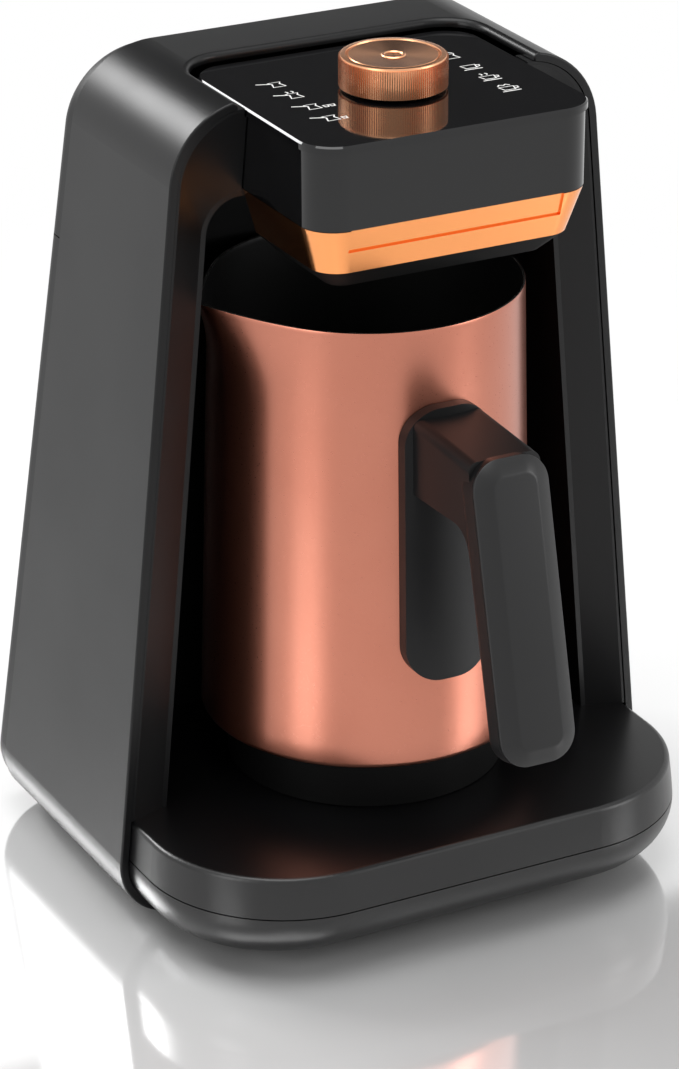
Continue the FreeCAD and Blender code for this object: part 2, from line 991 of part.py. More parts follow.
def make_knob_hub():
    low = knob_low() + hub_rise
    high = knob_ceiling()
    reach = knob_radius - knob_wall
    pieces = [upright(knob_hub_radius, 0, knob_y, low, high)]
    for i in range(hub_rib_count):
        rib = block(0, reach, -hub_rib_half, hub_rib_half, low, high)
        rib.rotate(V(0, 0, 0), V(0, 0, 1), 360 * i / hub_rib_count + 90)
        rib.translate(V(0, knob_y, 0))
        pieces.append(rib)
    hub = joined(pieces).common(upright(reach - hub_gap, 0, knob_y, low, high))
    return hub.cut(upright(shaft_radius, 0, knob_y, low - beyond, shaft_top()))


def shaft_top():
    return knob_ceiling() - shaft_drop


def make_shaft():
    return upright(shaft_radius, 0, knob_y, plunger_top(), shaft_top())


# Power board behind the niche


def power_y():
    return niche_rear + niche_wall + standoff


def make_power_board():
    y = power_y()
    board = block(-power_half, power_half, y, y + board_thickness, power_low, power_high)
    for x, z in standoff_spots():
        board = board.cut(along_y(screw_radius + screw_gap, x, z, y - beyond, y + board_thickness + beyond))
    return board


def on_power_board(x, z, size):
    width, depth, height = size
    y = power_y() + board_thickness
    return block(x - width / 2, x + width / 2, y, y + depth, z, z + height)


def make_relay():
    return on_power_board(relay_x, low_row, relay_size)


def make_transformer():
    core = on_power_board(transformer_x, low_row, transformer_size)
    height = transformer_size[2]
    size = (winding_width, winding_depth, height / 2)
    winding = on_power_board(transformer_x, low_row + height / 4, size)
    return core.fuse(winding).removeSplitter()


def make_terminal():
    terminal = on_power_board(0, terminal_low, terminal_size)
    width, depth, height = terminal_size
    notch = (width / 5, depth + beyond, height)
    for i in (-1, 0, 1):
        terminal = terminal.cut(on_power_board(i * width / 3, terminal_low + height / 2, notch))
    return terminal


def make_capacitor():
    y = power_y() + board_thickness + capacitor_radius
    return upright(capacitor_radius, capacitor_x, y, capacitor_low, capacitor_low + capacitor_length)


def make_power_screws():
    y = power_y() + board_thickness
    length = board_thickness + standoff - sink
    screws = [screw(V(x, y - length, z), V(0, 1, 0), length) for x, z in standoff_spots()]
    return Part.makeCompound(screws)


def strip(points, thickness, half):
    """Flat cable along points in the middle plane, thickness to one side of them."""
    pieces = []
    for a, b in zip(points[:-1], points[1:]):
        along = unit(b - a)
        normal = V(0, -along.z, along.y) * (thickness / 2)
        corners = [a + normal, b + normal, b - normal, a - normal]
        wire = rounded_wire([V(-half, c.y, c.z) for c in corners], [0, 0, 0, 0])
        pieces.append(prism(wire, 2 * half, 0, 0))
    for p in points[1:-1]:
        pieces.append(Part.makeCylinder(thickness / 2, 2 * half, V(-half, p.y, p.z), V(1, 0, 0)))
    return joined(pieces)


def make_ribbon():
    under = board_top - board_thickness - ribbon_thickness / 2
    behind = niche_rear + niche_wall + standoff / 2
    points = [
        V(0, control_board_rear - ribbon_start, under),
        V(0, panel_rear + ribbon_behind_panel, under),
        V(0, behind, niche_top + niche_wall + ribbon_lift),
        V(0, behind, power_high - ribbon_stop),
    ]
    return strip(points, ribbon_thickness, ribbon_width / 2)


def make_bushing():
    wall_y = rear_y(bushing_z) + rear_depth
    seat = wall_y + bushing_stand_off
    start = wall_y - rear_wall - bushing_inside
    stop = seat + bushing_flange
    tube = along_y(bushing_radius, bushing_x, bushing_z, start, seat)
    flange = along_y(bushing_flange_radius, bushing_x, bushing_z, seat, stop)
    bore = along_y(bushing_bore, bushing_x, bushing_z, start - beyond, stop + beyond)
    return tube.fuse(flange).removeSplitter().cut(bore)


# Socket and plug


def plug_face():
    """Where the pocket in the pot base ends, counted like all lengths along Y."""
    return pot_y + pot_base_radius - plug_pocket_depth


def pin_spots():
    return [i * pin_pitch for i in (-1, 0, 1)]


def make_socket_block():
    front = niche_rear + niche_wall + fit_gap
    back = front + socket_block_depth
    half = socket_block_half
    rise = nose_height / 2
    body_rise = rise + socket_block_rim
    nose_front = plug_face() + plug_reach
    nose = block(-nose_half, nose_half, nose_front, front + sink, socket_z - rise, socket_z + rise)
    body = block(-half, half, front, back, socket_z - body_rise, socket_z + body_rise)
    socket = nose.fuse(body).removeSplitter()
    bore = pin_radius + pin_clearance + contact_wall + screw_gap
    for x in pin_spots():
        socket = socket.cut(along_y(bore, x, socket_z, plug_face(), back + beyond))
    return socket


def contact_end():
    return niche_rear + niche_wall + fit_gap + socket_block_depth + contact_tail


def make_contacts():
    start = plug_face() + plug_reach + contact_start
    inner = pin_radius + pin_clearance
    contacts = []
    for x in pin_spots():
        tube = along_y(inner + contact_wall, x, socket_z, start, contact_end())
        contacts.append(tube.cut(along_y(inner, x, socket_z, start, contact_end() - contact_stop)))
    return Part.makeCompound(contacts)


def lead(x):
    """One wire from a socket contact up to the power board."""
    start = contact_end()
    turn = start + 2 * lead_bend
    top = power_low + lead_end_rise
    stop = power_y() + board_thickness
    corners = [V(x, start, socket_z), V(x, turn, socket_z), V(x, turn, top), V(x, stop, top)]
    first = rounded_corner(corners[0], corners[1], corners[2], lead_bend)
    second = rounded_corner(corners[1], corners[2], corners[3], lead_bend)
    edges = [
        Part.LineSegment(corners[0], first[0]).toShape(),
        Part.Arc(*first).toShape(),
        Part.LineSegment(first[2], second[0]).toShape(),
        Part.Arc(*second).toShape(),
        Part.LineSegment(second[2], corners[3]).toShape(),
    ]
    ring = Part.Wire([Part.makeCircle(lead_radius, corners[0], V(0, 1, 0))])
    return Part.Wire(edges).makePipeShell([ring], True, False)


def make_leads():
    return Part.makeCompound([lead(x) for x in pin_spots()])


def pocket(grow):
    """Space in the pot base that the socket's nose enters."""
    reach = nose_half + socket_gap + grow
    rise = nose_height / 2 + socket_gap + grow
    return block(-reach, reach, plug_face() - grow, pot_y + pot_radius, socket_z - rise, socket_z + rise)


def lid_top():
    return deck_top + pot_lift + lid_thickness


def make_plug():
    core = upright(pot_base_radius, 0, pot_y, lid_top(), pot_floor - pot_flange)
    plug = pocket(pocket_wall).common(core)
    plug = plug.cut(pocket(0))
    start = plug_face() - 2 * pin_length_inside
    for x in pin_spots():
        plug = plug.cut(along_y(pin_radius, x, socket_z, start, plug_face() + beyond))
    return plug


def make_pins():
    start = plug_face() - pin_length_inside
    stop = plug_face() + pin_length_outside
    pins = []
    for x in pin_spots():
        pin = along_y(pin_radius, x, socket_z, start, stop)
        pins.append(pin.makeChamfer(pin_chamfer, edges_where(pin, lambda p: p.y > stop - touching)))
    return Part.makeCompound(pins)


# Pot


def spout_wedge(shrink):
    """Beak of the spout: tangent lines from a small tip circle to the pot, running out downwards."""
    top = pot_rim + (beyond if shrink else 0)
    tip_x = pot_radius + spout_reach - spout_tip
    angle = math.acos((pot_radius - spout_tip) / tip_x)
    start_x = pot_radius - spout_root
    root_r = pot_radius - shrink - spout_overlap
    wires = []
    for z, scale in ((pot_rim - spout_drop, spout_foot_share), (top, 1.0)):
        radius = max(spout_tip - shrink, spout_least_tip) * scale
        centre = -start_x + (start_x - tip_x) * scale
        spread = angle * scale
        root = V(-root_r * math.cos(spread), root_r * math.sin(spread), z)
        out = V(centre - radius * math.cos(angle), radius * math.sin(angle), z)
        tip = V(centre - radius, 0, z)
        far = V(out.x, -out.y, z)
        foot = V(root.x, -root.y, z)
        edges = [
            Part.LineSegment(root, out).toShape(),
            Part.Arc(out, tip, far).toShape(),
            Part.LineSegment(far, foot).toShape(),
            Part.LineSegment(foot, root).toShape(),
        ]
        wires.append(Part.Wire(edges))
    wedge = Part.makeLoft(wires, True, True)
    wedge.translate(V(0, pot_y, 0))
    return wedge


def pot_side(z):
    """Outer radius of the pot, which is a little wider at its foot."""
    share = (z - pot_floor) / (pot_rim - pot_floor)
    return pot_foot_radius + (pot_radius - pot_foot_radius) * share


def pot_cone(grow, low, high):
    """Solid of the pot's side between two heights, grown outwards."""
    place = V(0, pot_y, low)
    return Part.makeCone(pot_side(low) + grow, pot_side(high) + grow, high - low, place)


def make_pot():
    outer = pot_cone(0, pot_floor, pot_rim)
    outer = outer.makeFillet(pot_foot_round, edges_where(outer, lambda p: abs(p.z - pot_floor) < touching))
    inner = pot_cone(-pot_wall, pot_floor + pot_floor_thickness, pot_rim + beyond)
    outer = outer.fuse(spout_wedge(0))
    inner = inner.fuse(spout_wedge(pot_wall))
    return outer.cut(inner)


def make_pot_base():
    top = pot_floor
    low = lid_top()
    post_top = top - heater_thickness - lid_post_drop
    flange = upright(pot_flange_radius, 0, pot_y, top - pot_flange, top)
    wall = upright(pot_base_radius, 0, pot_y, low, top - pot_flange + sink)
    base = flange.fuse(wall).removeSplitter()
    base = base.cut(upright(pot_base_radius - pot_base_wall, 0, pot_y, low - beyond, top + beyond))
    for x, y in lid_screw_spots():
        base = base.fuse(upright(boss_radius, x, y, low, post_top))
    base = base.cut(pocket(pocket_wall + pocket_clearance))
    return screw_hole(base, lid_screw_spots(), low - beyond, post_top - beyond)


def lid_screw_spots():
    ring = pot_base_radius - pot_base_wall - boss_radius + sink
    spots = []
    for i in range(lid_screw_count):
        angle = math.radians(360 * i / lid_screw_count - 90)
        spots.append((ring * math.cos(angle), pot_y + ring * math.sin(angle)))
    return spots


def make_lid():
    low = deck_top + pot_lift
    lid = upright(pot_base_radius, 0, pot_y, low, lid_top())
    for x, y in lid_screw_spots():
        lid = lid.cut(upright(screw_head_radius + screw_gap, x, y, low - beyond, low + screw_head_height / 2))
    return screw_hole(lid, lid_screw_spots(), low - beyond, lid_top() + beyond)


def screws_from_below(spots, low, length):
    """Screws sunk into a floor, their heads ground flush with it."""
    seat = low + screw_head_height / 2
    screws = []
    for x, y in spots:
        one = screw(V(x, y, seat + length), V(0, 0, -1), length)
        screws.append(one.common(upright(2 * screw_head_radius, x, y, low, seat + length)))
    return Part.makeCompound(screws)


def make_lid_screws():
    return screws_from_below(lid_screw_spots(), deck_top + pot_lift, short_screw)


def make_heater_plate():
    return upright(heater_radius, 0, pot_y, pot_floor - heater_thickness, pot_floor)


def make_heater_tube():
    """Tubular heater bent to a ring with a gap at the front, lying under the plate."""
    z = pot_floor - heater_thickness - heater_tube
    ring = Part.makeTorus(heater_tube_ring, heater_tube, V(0, pot_y, z), V(0, 0, 1))
    half = heater_gap_half
    rise = heater_tube + beyond
    return ring.cut(block(-half, half, pot_y - 2 * heater_tube_ring, pot_y, z - rise, z + rise))


def make_thermostat():
    top = pot_floor - heater_thickness
    return upright(thermostat_radius, 0, pot_y, top - thermostat_height, top)


# Handle


def pot_ring(inner, outer, low, high):
    """Ring that follows the pot's side, between two distances from it."""
    return pot_cone(outer, low, high).cut(pot_cone(inner, low - beyond, high + beyond))


def front_outline(half, low, high, rounding):
    """Prism through the front of the pot with a rounded upright outline."""
    points = [V(-half, pot_y, low), V(half, pot_y, low), V(half, pot_y, high), V(-half, pot_y, high)]
    return prism(rounded_wire(points, [rounding] * 4), 0, -2 * pot_radius, 0)


def grip_frame(shape):
    """From upright at the origin to the grip's real place and lean."""
    shape.rotate(V(0, 0, 0), V(1, 0, 0), -grip_lean)
    shape.translate(V(0, grip_middle_y, grip_middle_z))
    return shape


def grip_wire(inset, y, rounding):
    half = grip_half - inset
    reach = grip_length / 2 - inset
    points = [V(-half, y, -reach), V(half, y, -reach), V(half, y, reach), V(-half, y, reach)]
    return rounded_wire(points, [rounding] * 4)


def make_plate():
    ring = pot_ring(pot_skin_gap, pot_skin_gap + plate_depth, plate_low, plate_high)
    return ring.common(front_outline(plate_half, plate_low, plate_high, plate_round))


def bracket_seat():
    """The pocket behind the plate that the pot's bracket fills."""
    low = bracket_low - fit_gap
    high = bracket_high + fit_gap
    ring = pot_ring(pot_skin_gap - beyond, pot_skin_gap + bracket_depth + screw_gap, low, high)
    return ring.common(front_outline(bracket_half + fit_gap, low, high, 0))


def make_bracket():
    ring = pot_ring(bracket_gap, bracket_gap + bracket_depth, bracket_low, bracket_high)
    bracket = ring.common(front_outline(bracket_half, bracket_low, bracket_high, 0))
    return bracket.cut(along_y(screw_radius + screw_gap, 0, handle_screw_z, pot_y - 2 * pot_radius, pot_y))


def make_grip_back():
    back = prism(grip_wire(0, 0, grip_corner), 0, grip_depth, 0)
    edges = edges_where(back, lambda p: p.y > grip_depth - touching)
    return grip_frame(back.makeFillet(grip_back_round, edges))


def make_handle():
    handle = make_plate().fuse(make_arm()).fuse(make_grip_back())
    handle = handle.removeSplitter().cut(pot_cone(pot_skin_gap, pot_floor, pot_rim))
    handle = handle.cut(bracket_seat())
    far = pot_y - 3 * pot_radius
    handle = handle.cut(along_y(screw_radius + screw_gap, 0, handle_screw_z, far, pot_y - pot_radius))
    return handle.cut(along_y(screw_head_radius + head_gap, 0, handle_screw_z, far, handle_screw_seat()))


def grip_front_y(z):
    """Where the grip's front plane is at a height."""
    return grip_middle_y + (z - grip_middle_z) * math.tan(math.radians(grip_lean))


def make_arm():
    """Arm from the plate into the top of the grip, with one large round underneath."""
    root = pot_y - pot_radius - arm_root
    low = arm_top - arm_drop
    web = low - arm_inner_round
    behind = grip_depth / math.cos(math.radians(grip_lean)) - arm_sink
    x = -arm_half
    points = [
        V(x, root, arm_top),
        V(x, grip_front_y(arm_top) + arm_sink, arm_top - arm_sink),
        V(x, grip_front_y(web) + arm_sink, web),
        V(x, grip_front_y(web) + behind, web),
        V(x, grip_front_y(low) + behind, low),
        V(x, root, low - arm_root),
    ]
    arm = prism(rounded_wire(points, [0, 0, 0, 0, arm_inner_round, 0]), 2 * arm_half, 0, 0)
    low_edge = arm_top - arm_sink - touching
    top = edges_where(arm, lambda p: abs(p.x) > arm_half - touching and p.z > low_edge)
    return arm.makeFillet(arm_round, top)


def handle_screw_seat():
    return grip_front_y(handle_screw_z) + handle_screw_sink


def make_handle_screw():
    seat = handle_screw_seat()
    tip = pot_y - pot_side(handle_screw_z) - pot_skin_gap - handle_screw_short
    return screw(V(0, tip, handle_screw_z), V(0, -1, 0), tip - seat)


def make_handle_cover():
    rim = prism(grip_wire(0, -cover_gap, grip_corner), 0, -cover_rim, 0)
    low_wire = grip_wire(0, -cover_gap - cover_rim, grip_corner)
    high_wire = grip_wire(cover_bevel, -cover_gap - cover_rise, grip_corner - cover_bevel + cover_edge_round)
    top = Part.makeLoft([low_wire, high_wire], True, True)
    return grip_frame(rim.fuse(top).removeSplitter())


# Screws of the root body


def make_base_screws():
    return screws_from_below(base_screw_spots(), base_bottom(), base_screw_length)


def make_cover_screws():
    screws = []
    for x, z in cover_screw_spots():
        tip = rear_y(z) + rear_depth - rear_wall / 2 - cover_screw_length
        screws.append(screw(V(x, tip, z), V(0, 1, 0), cover_screw_length))
    return Part.makeCompound(screws)


def make_board_screws():
    tip = board_top - short_screw
    screws = [screw(V(x, y, tip), V(0, 0, 1), short_screw) for x, y in board_boss_spots()]
    return Part.makeCompound(screws)


def make_head_screws():
    length = head_screw_length
    screws = [screw(V(x, y, niche_top + length), V(0, 0, -1), length) for x, y in head_screw_spots()]
    return Part.makeCompound(screws)


# All nodes


def front_reach():
    lean = math.radians(grip_lean)
    low = grip_middle_y - (grip_length / 2 - cover_bevel) * math.sin(lean)
    return low - (cover_gap + cover_rise) * math.cos(lean)


def rear_reach():
    low = shell_bottom + seam_gap + rear_round
    bushing = rear_y(bushing_z) + rear_depth + bushing_stand_off + bushing_flange
    return max(rear_y(low) + rear_depth, bushing)


def all_nodes():
    casing = rear_casing()
    nodes = {
        "outer_shell": make_shell(),
        "front_frame": make_frame(),
        "rear_cap": make_rear_cap(casing),
        "rear_cover": make_rear_cover(casing),
        "base_deck": make_deck(),
        "base_pan": make_pan(),
        "head_housing": make_housing(),
        "head_trim": make_trim(),
        "head_underside": make_underside(),
        "sensor_window": make_window(),
        "foam_sensor": make_sensor(),
        "sensor_board": make_sensor_board(),
        "control_panel": make_panel(),
        "control_board": make_control_board(),
        "touch_springs": make_touch_springs(),
        "indicator_lamps": make_lamps(),
        "buzzer": make_buzzer(),
        "encoder_body": make_encoder(),
        "signal_ribbon": make_ribbon(),
        "power_board": make_power_board(),
        "relay": make_relay(),
        "transformer": make_transformer(),
        "terminal_block": make_terminal(),
        "filter_capacitor": make_capacitor(),
        "cord_bushing": make_bushing(),
        "socket_block": make_socket_block(),
        "socket_contacts": make_contacts(),
        "heater_leads": make_leads(),
        "base_screws": make_base_screws(),
        "rear_cover_screws": make_cover_screws(),
        "power_board_screws": make_power_screws(),
        "control_board_screws": make_board_screws(),
        "head_screws": make_head_screws(),
        "encoder_plunger": make_plunger(),
        "encoder_shaft": make_shaft(),
        "knob_body": make_knob_body(),
        "knob_hub": make_knob_hub(),
        "pot_body": make_pot(),
        "pot_base": make_pot_base(),
        "pot_base_lid": make_lid(),
        "pot_base_screws": make_lid_screws(),
        "heater_plate": make_heater_plate(),
        "heater_tube": make_heater_tube(),
        "pot_thermostat": make_thermostat(),
        "pot_plug": make_plug(),
        "plug_pins": make_pins(),
        "handle_bracket": make_bracket(),
        "pot_handle": make_handle(),
        "handle_cover": make_handle_cover(),
        "handle_screw": make_handle_screw(),
    }
    for side, across in (("left", -1), ("right", 1)):
        nodes["foot_front_" + side] = make_foot(across * foot_x, -foot_front)
        nodes["foot_rear_" + side] = make_foot(across * foot_x, foot_rear)
    return nodes


def main():
    os.makedirs("parts", exist_ok=True)
    middle = (front_reach() + rear_reach()) / 2
    for name, shape in all_nodes().items():
        shape.translate(V(0, -middle, 0))
        box = shape.BoundBox
        print(name, len(shape.Solids), "solids, volume", round(shape.Volume), "valid", shape.isValid(),
              "x", round(box.XMin, 1), round(box.XMax, 1), "y", round(box.YMin, 1), round(box.YMax, 1),
              "z", round(box.ZMin, 1), round(box.ZMax, 1))
        shape.exportStep("parts/" + name + ".step")
    print("shell front edge at y", round(-middle, 3))


main()
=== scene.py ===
# %% [markdown]
# # A one-pot coffee maker
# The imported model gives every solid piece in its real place, in metres. This lesson dresses it: a studio,
# a camera, a finish for every piece, and new meshes where the eye wants more than the solids hold.
# We load the frame first, because every later step measures from it.

# %% Load the frame
import bpy
import bmesh
import math
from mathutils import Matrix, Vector


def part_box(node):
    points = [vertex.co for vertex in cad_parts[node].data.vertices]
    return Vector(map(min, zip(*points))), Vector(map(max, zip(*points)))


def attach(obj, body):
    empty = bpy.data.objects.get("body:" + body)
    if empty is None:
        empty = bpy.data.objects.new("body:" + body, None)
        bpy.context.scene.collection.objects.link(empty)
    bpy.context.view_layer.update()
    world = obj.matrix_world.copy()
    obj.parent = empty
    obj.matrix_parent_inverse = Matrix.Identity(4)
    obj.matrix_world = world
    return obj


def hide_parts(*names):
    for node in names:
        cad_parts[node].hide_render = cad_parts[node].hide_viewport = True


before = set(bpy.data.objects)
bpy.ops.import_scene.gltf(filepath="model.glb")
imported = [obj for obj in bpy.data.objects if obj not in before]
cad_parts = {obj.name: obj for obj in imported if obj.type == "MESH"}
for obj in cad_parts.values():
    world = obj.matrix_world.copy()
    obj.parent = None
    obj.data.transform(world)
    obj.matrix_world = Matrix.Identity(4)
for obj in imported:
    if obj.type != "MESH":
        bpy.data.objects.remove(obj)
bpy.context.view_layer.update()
bpy.ops.object.select_all(action="DESELECT")
scene = bpy.context.scene
mm = 0.001
shell_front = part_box("outer_shell")[0].y


# %% [markdown]
# ## The camera
# A product photograph is taken from far away with a long lens, so upright edges stay nearly parallel.
# We could drag a camera until the picture looks right, but the corners of the machine tell more: they give
# a turn of 27.7 degrees, a height of 24.2 degrees and a distance of 1.23 m. A 140 mm lens on a 36 mm tall
# sensor then fills the upright frame.

# %% The camera
turn = math.radians(-27.741)
rise = math.radians(24.226)
distance = 1.2272
aim = Vector((-0.0159, shell_front, 0.1144))
towards = Vector((math.sin(turn) * math.cos(rise), -math.cos(turn) * math.cos(rise), math.sin(rise)))
bpy.ops.object.camera_add(location=aim + towards * distance)
camera = bpy.context.object
camera.rotation_euler = towards.to_track_quat("Z", "Y").to_euler()
camera.data.sensor_fit = "VERTICAL"
camera.data.sensor_height = 36.0
camera.data.lens = 140.07
scene.camera = camera
print("camera at", [round(c, 3) for c in camera.location])


# %% [markdown]
# ## Colours and nodes
# A colour picker shows sRGB values, but a shader works with linear light, so one function turns a hex colour
# into a linear one. A second function adds any shader node with its settings and links. These two are all
# that the finishes below need.

# %% Helpers for materials
def linear(hex_colour):
    """A colour picker's hex colour as the linear one that a shader needs."""
    channels = [int(hex_colour[i:i + 2], 16) / 255 for i in (1, 3, 5)]
    curve = [c / 12.92 if c <= 0.04045 else ((c + 0.055) / 1.055) ** 2.4 for c in channels]
    return (*curve, 1.0)


def add_node(tree, kind, settings=None, inputs=None):
    """Adds one node; an input is a value, or a (node, output name) pair to link."""
    made = tree.nodes.new(kind)
    for name, value in (settings or {}).items():
        setattr(made, name, value)
    for name, value in (inputs or {}).items():
        socket = made.inputs[name]
        if isinstance(value, tuple) and isinstance(value[0], bpy.types.Node):
            tree.links.new(value[0].outputs[value[1]], socket)
        else:
            socket.default_value = value
    return made


def new_material(name):
    """An empty material with its output; returns the material and its tree."""
    material = bpy.data.materials.new(name)
    material.use_nodes = True
    tree = material.node_tree
    tree.nodes.clear()
    return material, tree


def finish_tree(tree, shader):
    add_node(tree, "ShaderNodeOutputMaterial", inputs={"Surface": (shader, "BSDF")})


print("white as linear light:", linear("#ffffff"))


# %% [markdown]
# ## The studio
# A black satin body shows almost nothing but what stands around it: its shape is drawn by reflections of
# pale walls and lamps. So the room is white for the camera and for reflections, and weaker for the soft
# light that falls on surfaces. The floor is a pale disc that fades out into the white, so that no horizon
# shows, and it keeps the soft shadow and the faint mirror image of the machine.

# %% The room
room = bpy.data.worlds.new("pale_room")
scene.world = room
room.use_nodes = True
tree = room.node_tree
tree.nodes.clear()
ray = add_node(tree, "ShaderNodeLightPath")
camera_or_glass = add_node(tree, "ShaderNodeMath", {"operation": "MAXIMUM"}, {
    0: (ray, "Is Camera Ray"), 1: (ray, "Is Transmission Ray")})
direct = add_node(tree, "ShaderNodeMath", {"operation": "MAXIMUM"}, {
    0: (camera_or_glass, "Value"), 1: (ray, "Is Glossy Ray")})
soft = add_node(tree, "ShaderNodeBackground", inputs={"Color": linear("#ffffff"), "Strength": 0.30})
seen = add_node(tree, "ShaderNodeBackground", inputs={"Color": linear("#ffffff"), "Strength": 1.0})
lit = add_node(tree, "ShaderNodeMixShader", inputs={
    0: (direct, "Value"), 1: (soft, "Background"), 2: (seen, "Background")})
add_node(tree, "ShaderNodeOutputWorld", inputs={"Surface": (lit, "Shader")})
scene.view_settings.view_transform = "Standard"
print("room ready")

# %% [markdown]
# The real set is a sheet of white acrylic: half of it scatters light, half mirrors it. One wide disc does,
# with the two mixed evenly, and it fades to clear before its edge.

# %% The floor
bpy.ops.mesh.primitive_circle_add(vertices=96, radius=1.6, fill_type="NGON", location=(0, 0, 0))
floor = bpy.context.object
floor.name = "floor"
pale_floor, tree = new_material("white_acrylic_floor")
place = add_node(tree, "ShaderNodeTexCoord")
away = add_node(tree, "ShaderNodeVectorMath", {"operation": "LENGTH"}, {0: (place, "Object")})
fade = add_node(tree, "ShaderNodeMapRange", {"interpolation_type": "SMOOTHSTEP"}, {
    "Value": (away, "Value"), "From Min": 0.16, "From Max": 0.62, "To Min": 1.0, "To Max": 0.0})
matt = add_node(tree, "ShaderNodeBsdfDiffuse", inputs={"Color": linear("#ffffff")})
shine = add_node(tree, "ShaderNodeBsdfGlossy", inputs={"Color": linear("#ffffff"), "Roughness": 0.07})
surface = add_node(tree, "ShaderNodeMixShader", inputs={0: 0.5, 1: (matt, "BSDF"), 2: (shine, "BSDF")})
clear = add_node(tree, "ShaderNodeBsdfTransparent")
mixed = add_node(tree, "ShaderNodeMixShader", inputs={
    0: (fade, "Result"), 1: (clear, "BSDF"), 2: (surface, "Shader")})
add_node(tree, "ShaderNodeOutputMaterial", inputs={"Surface": (mixed, "Shader")})
floor.data.materials.append(pale_floor)
print("floor radius", floor.dimensions.x / 2)


# %% [markdown]
# ## Lamps
# Four soft boxes: a large one above, one high behind on the left, whose mirror image is the bright band along
# the shell's rounded edge, and one at each side. A grey cloth hangs behind, so that the top and the glossy
# panel stay dark and the knob's mirror image shows in the panel. On a real set the cloth hangs above the
# picture; here the camera is told not to see it.

# %% Lamps
def soft_box(name, place, target, width, height, power):
    """A flat lamp at a place, turned to a target; sizes in metres, power in watts."""
    bpy.ops.object.light_add(type="AREA", location=place)
    lamp = bpy.context.object
    lamp.name = name
    lamp.data.shape = "RECTANGLE"
    lamp.data.size = width
    lamp.data.size_y = height
    lamp.data.energy = power
    direction = Vector(place) - Vector(target)
    lamp.rotation_euler = direction.to_track_quat("Z", "Y").to_euler()
    return lamp


soft_box("top_lamp", (-0.15, -0.1, 1.25), (0, 0, 0.1), 0.9, 0.9, 9.0)
soft_box("rear_lamp", (-0.62, 1.2, 0.95), (0, 0, 0.2), 0.8, 0.45, 14.0)
soft_box("left_lamp", (-1.3, -0.5, 0.65), (0, 0, 0.12), 0.5, 0.9, 5.0)
soft_box("right_lamp", (1.1, -1.0, 0.6), (0, 0, 0.12), 0.5, 0.9, 6.0)
bpy.ops.mesh.primitive_plane_add(size=1, location=(0.25, 0.5, 0.62), rotation=(math.radians(90), 0, 0))
cloth = bpy.context.object
cloth.name = "grey_cloth"
cloth.scale = (0.75, 0.5, 1)
cloth.visible_camera = False
cloth.visible_shadow = False
cloth.visible_diffuse = False
grey_cloth_cotton, tree = new_material("grey_cloth_cotton")
cotton = add_node(tree, "ShaderNodeBsdfDiffuse", inputs={"Color": linear("#4c4c4c")})
finish_tree(tree, cotton)
cloth.data.materials.append(grey_cloth_cotton)
print("four lamps and a grey cloth")


# %% [markdown]
# ## Moulded plastics
# Most of the machine is ABS: a plain, tough plastic, injection moulded. The mould's surface was etched to a
# fine grain, so the plastic is satin where it was etched and mirror bright where it was polished. One
# recipe serves them all: a dark colour, a typical refraction of 1.5, a roughness, and a grain made by a
# noise pattern whose scale comes from the grain's real size. The real grain is near 0.1 mm; it is drawn
# as wide as the render can show.

# %% Moulded plastic
def moulded(name, colour, roughness, grain_mm, depth_mm, patch=0.03, gloss=0.5):
    """Plastic with an etched grain; patch is how far its roughness drifts, gloss how strongly it mirrors."""
    material, tree = new_material(name)
    place = add_node(tree, "ShaderNodeTexCoord")
    grain = add_node(tree, "ShaderNodeTexNoise", inputs={
        "Vector": (place, "Object"), "Scale": 1 / (grain_mm * mm), "Detail": 3.0, "Roughness": 0.6})
    drift = add_node(tree, "ShaderNodeTexNoise", inputs={
        "Vector": (place, "Object"), "Scale": 1 / (45 * mm), "Detail": 2.0})
    rough = add_node(tree, "ShaderNodeMapRange", inputs={
        "Value": (drift, "Fac"), "From Min": 0.3, "From Max": 0.7,
        "To Min": roughness - patch, "To Max": roughness + patch})
    bump = add_node(tree, "ShaderNodeBump", inputs={
        "Height": (grain, "Fac"), "Distance": depth_mm * mm, "Strength": 0.6})
    shader = add_node(tree, "ShaderNodeBsdfPrincipled", inputs={
        "Base Color": linear(colour), "Roughness": (rough, "Result"), "IOR": 1.5,
        "Specular IOR Level": gloss, "Normal": (bump, "Normal")})
    finish_tree(tree, shader)
    return material


satin_black_abs = moulded("satin_black_abs", "#060607", 0.34, 0.5, 0.010, gloss=0.3)
frame_black_abs = moulded("frame_black_abs", "#060607", 0.40, 0.5, 0.008, gloss=0.3)
textured_black_abs = moulded("textured_black_abs", "#0a0a0b", 0.46, 0.9, 0.03, gloss=0.3)
base_black_abs = moulded("base_black_abs", "#070708", 0.30, 0.5, 0.006, gloss=0.5)
matt_black_pbt = moulded("matt_black_pbt", "#040404", 0.55, 0.7, 0.02, gloss=0.12)
handle_black_pbt = moulded("handle_black_pbt", "#080809", 0.42, 0.5, 0.008, gloss=0.3)
cover_grey_abs = moulded("cover_grey_abs", "#0c0c0d", 0.36, 0.5, 0.004, gloss=0.42)
natural_pom = moulded("natural_pom", "#e6e3d8", 0.4, 0.6, 0.01)
relay_blue_pbt = moulded("relay_blue_pbt", "#1c4f9c", 0.3, 0.6, 0.01)
terminal_green_pa = moulded("terminal_green_pa", "#1f7a45", 0.38, 0.6, 0.012)
ribbon_grey_pvc = moulded("ribbon_grey_pvc", "#9a9c9e", 0.42, 0.6, 0.01)
white_lamp_epoxy = moulded("white_lamp_epoxy", "#f2efe2", 0.25, 0.6, 0.005)
silicone_white = moulded("silicone_white", "#d8d6cf", 0.5, 0.5, 0.02)
print("moulded plastics made")


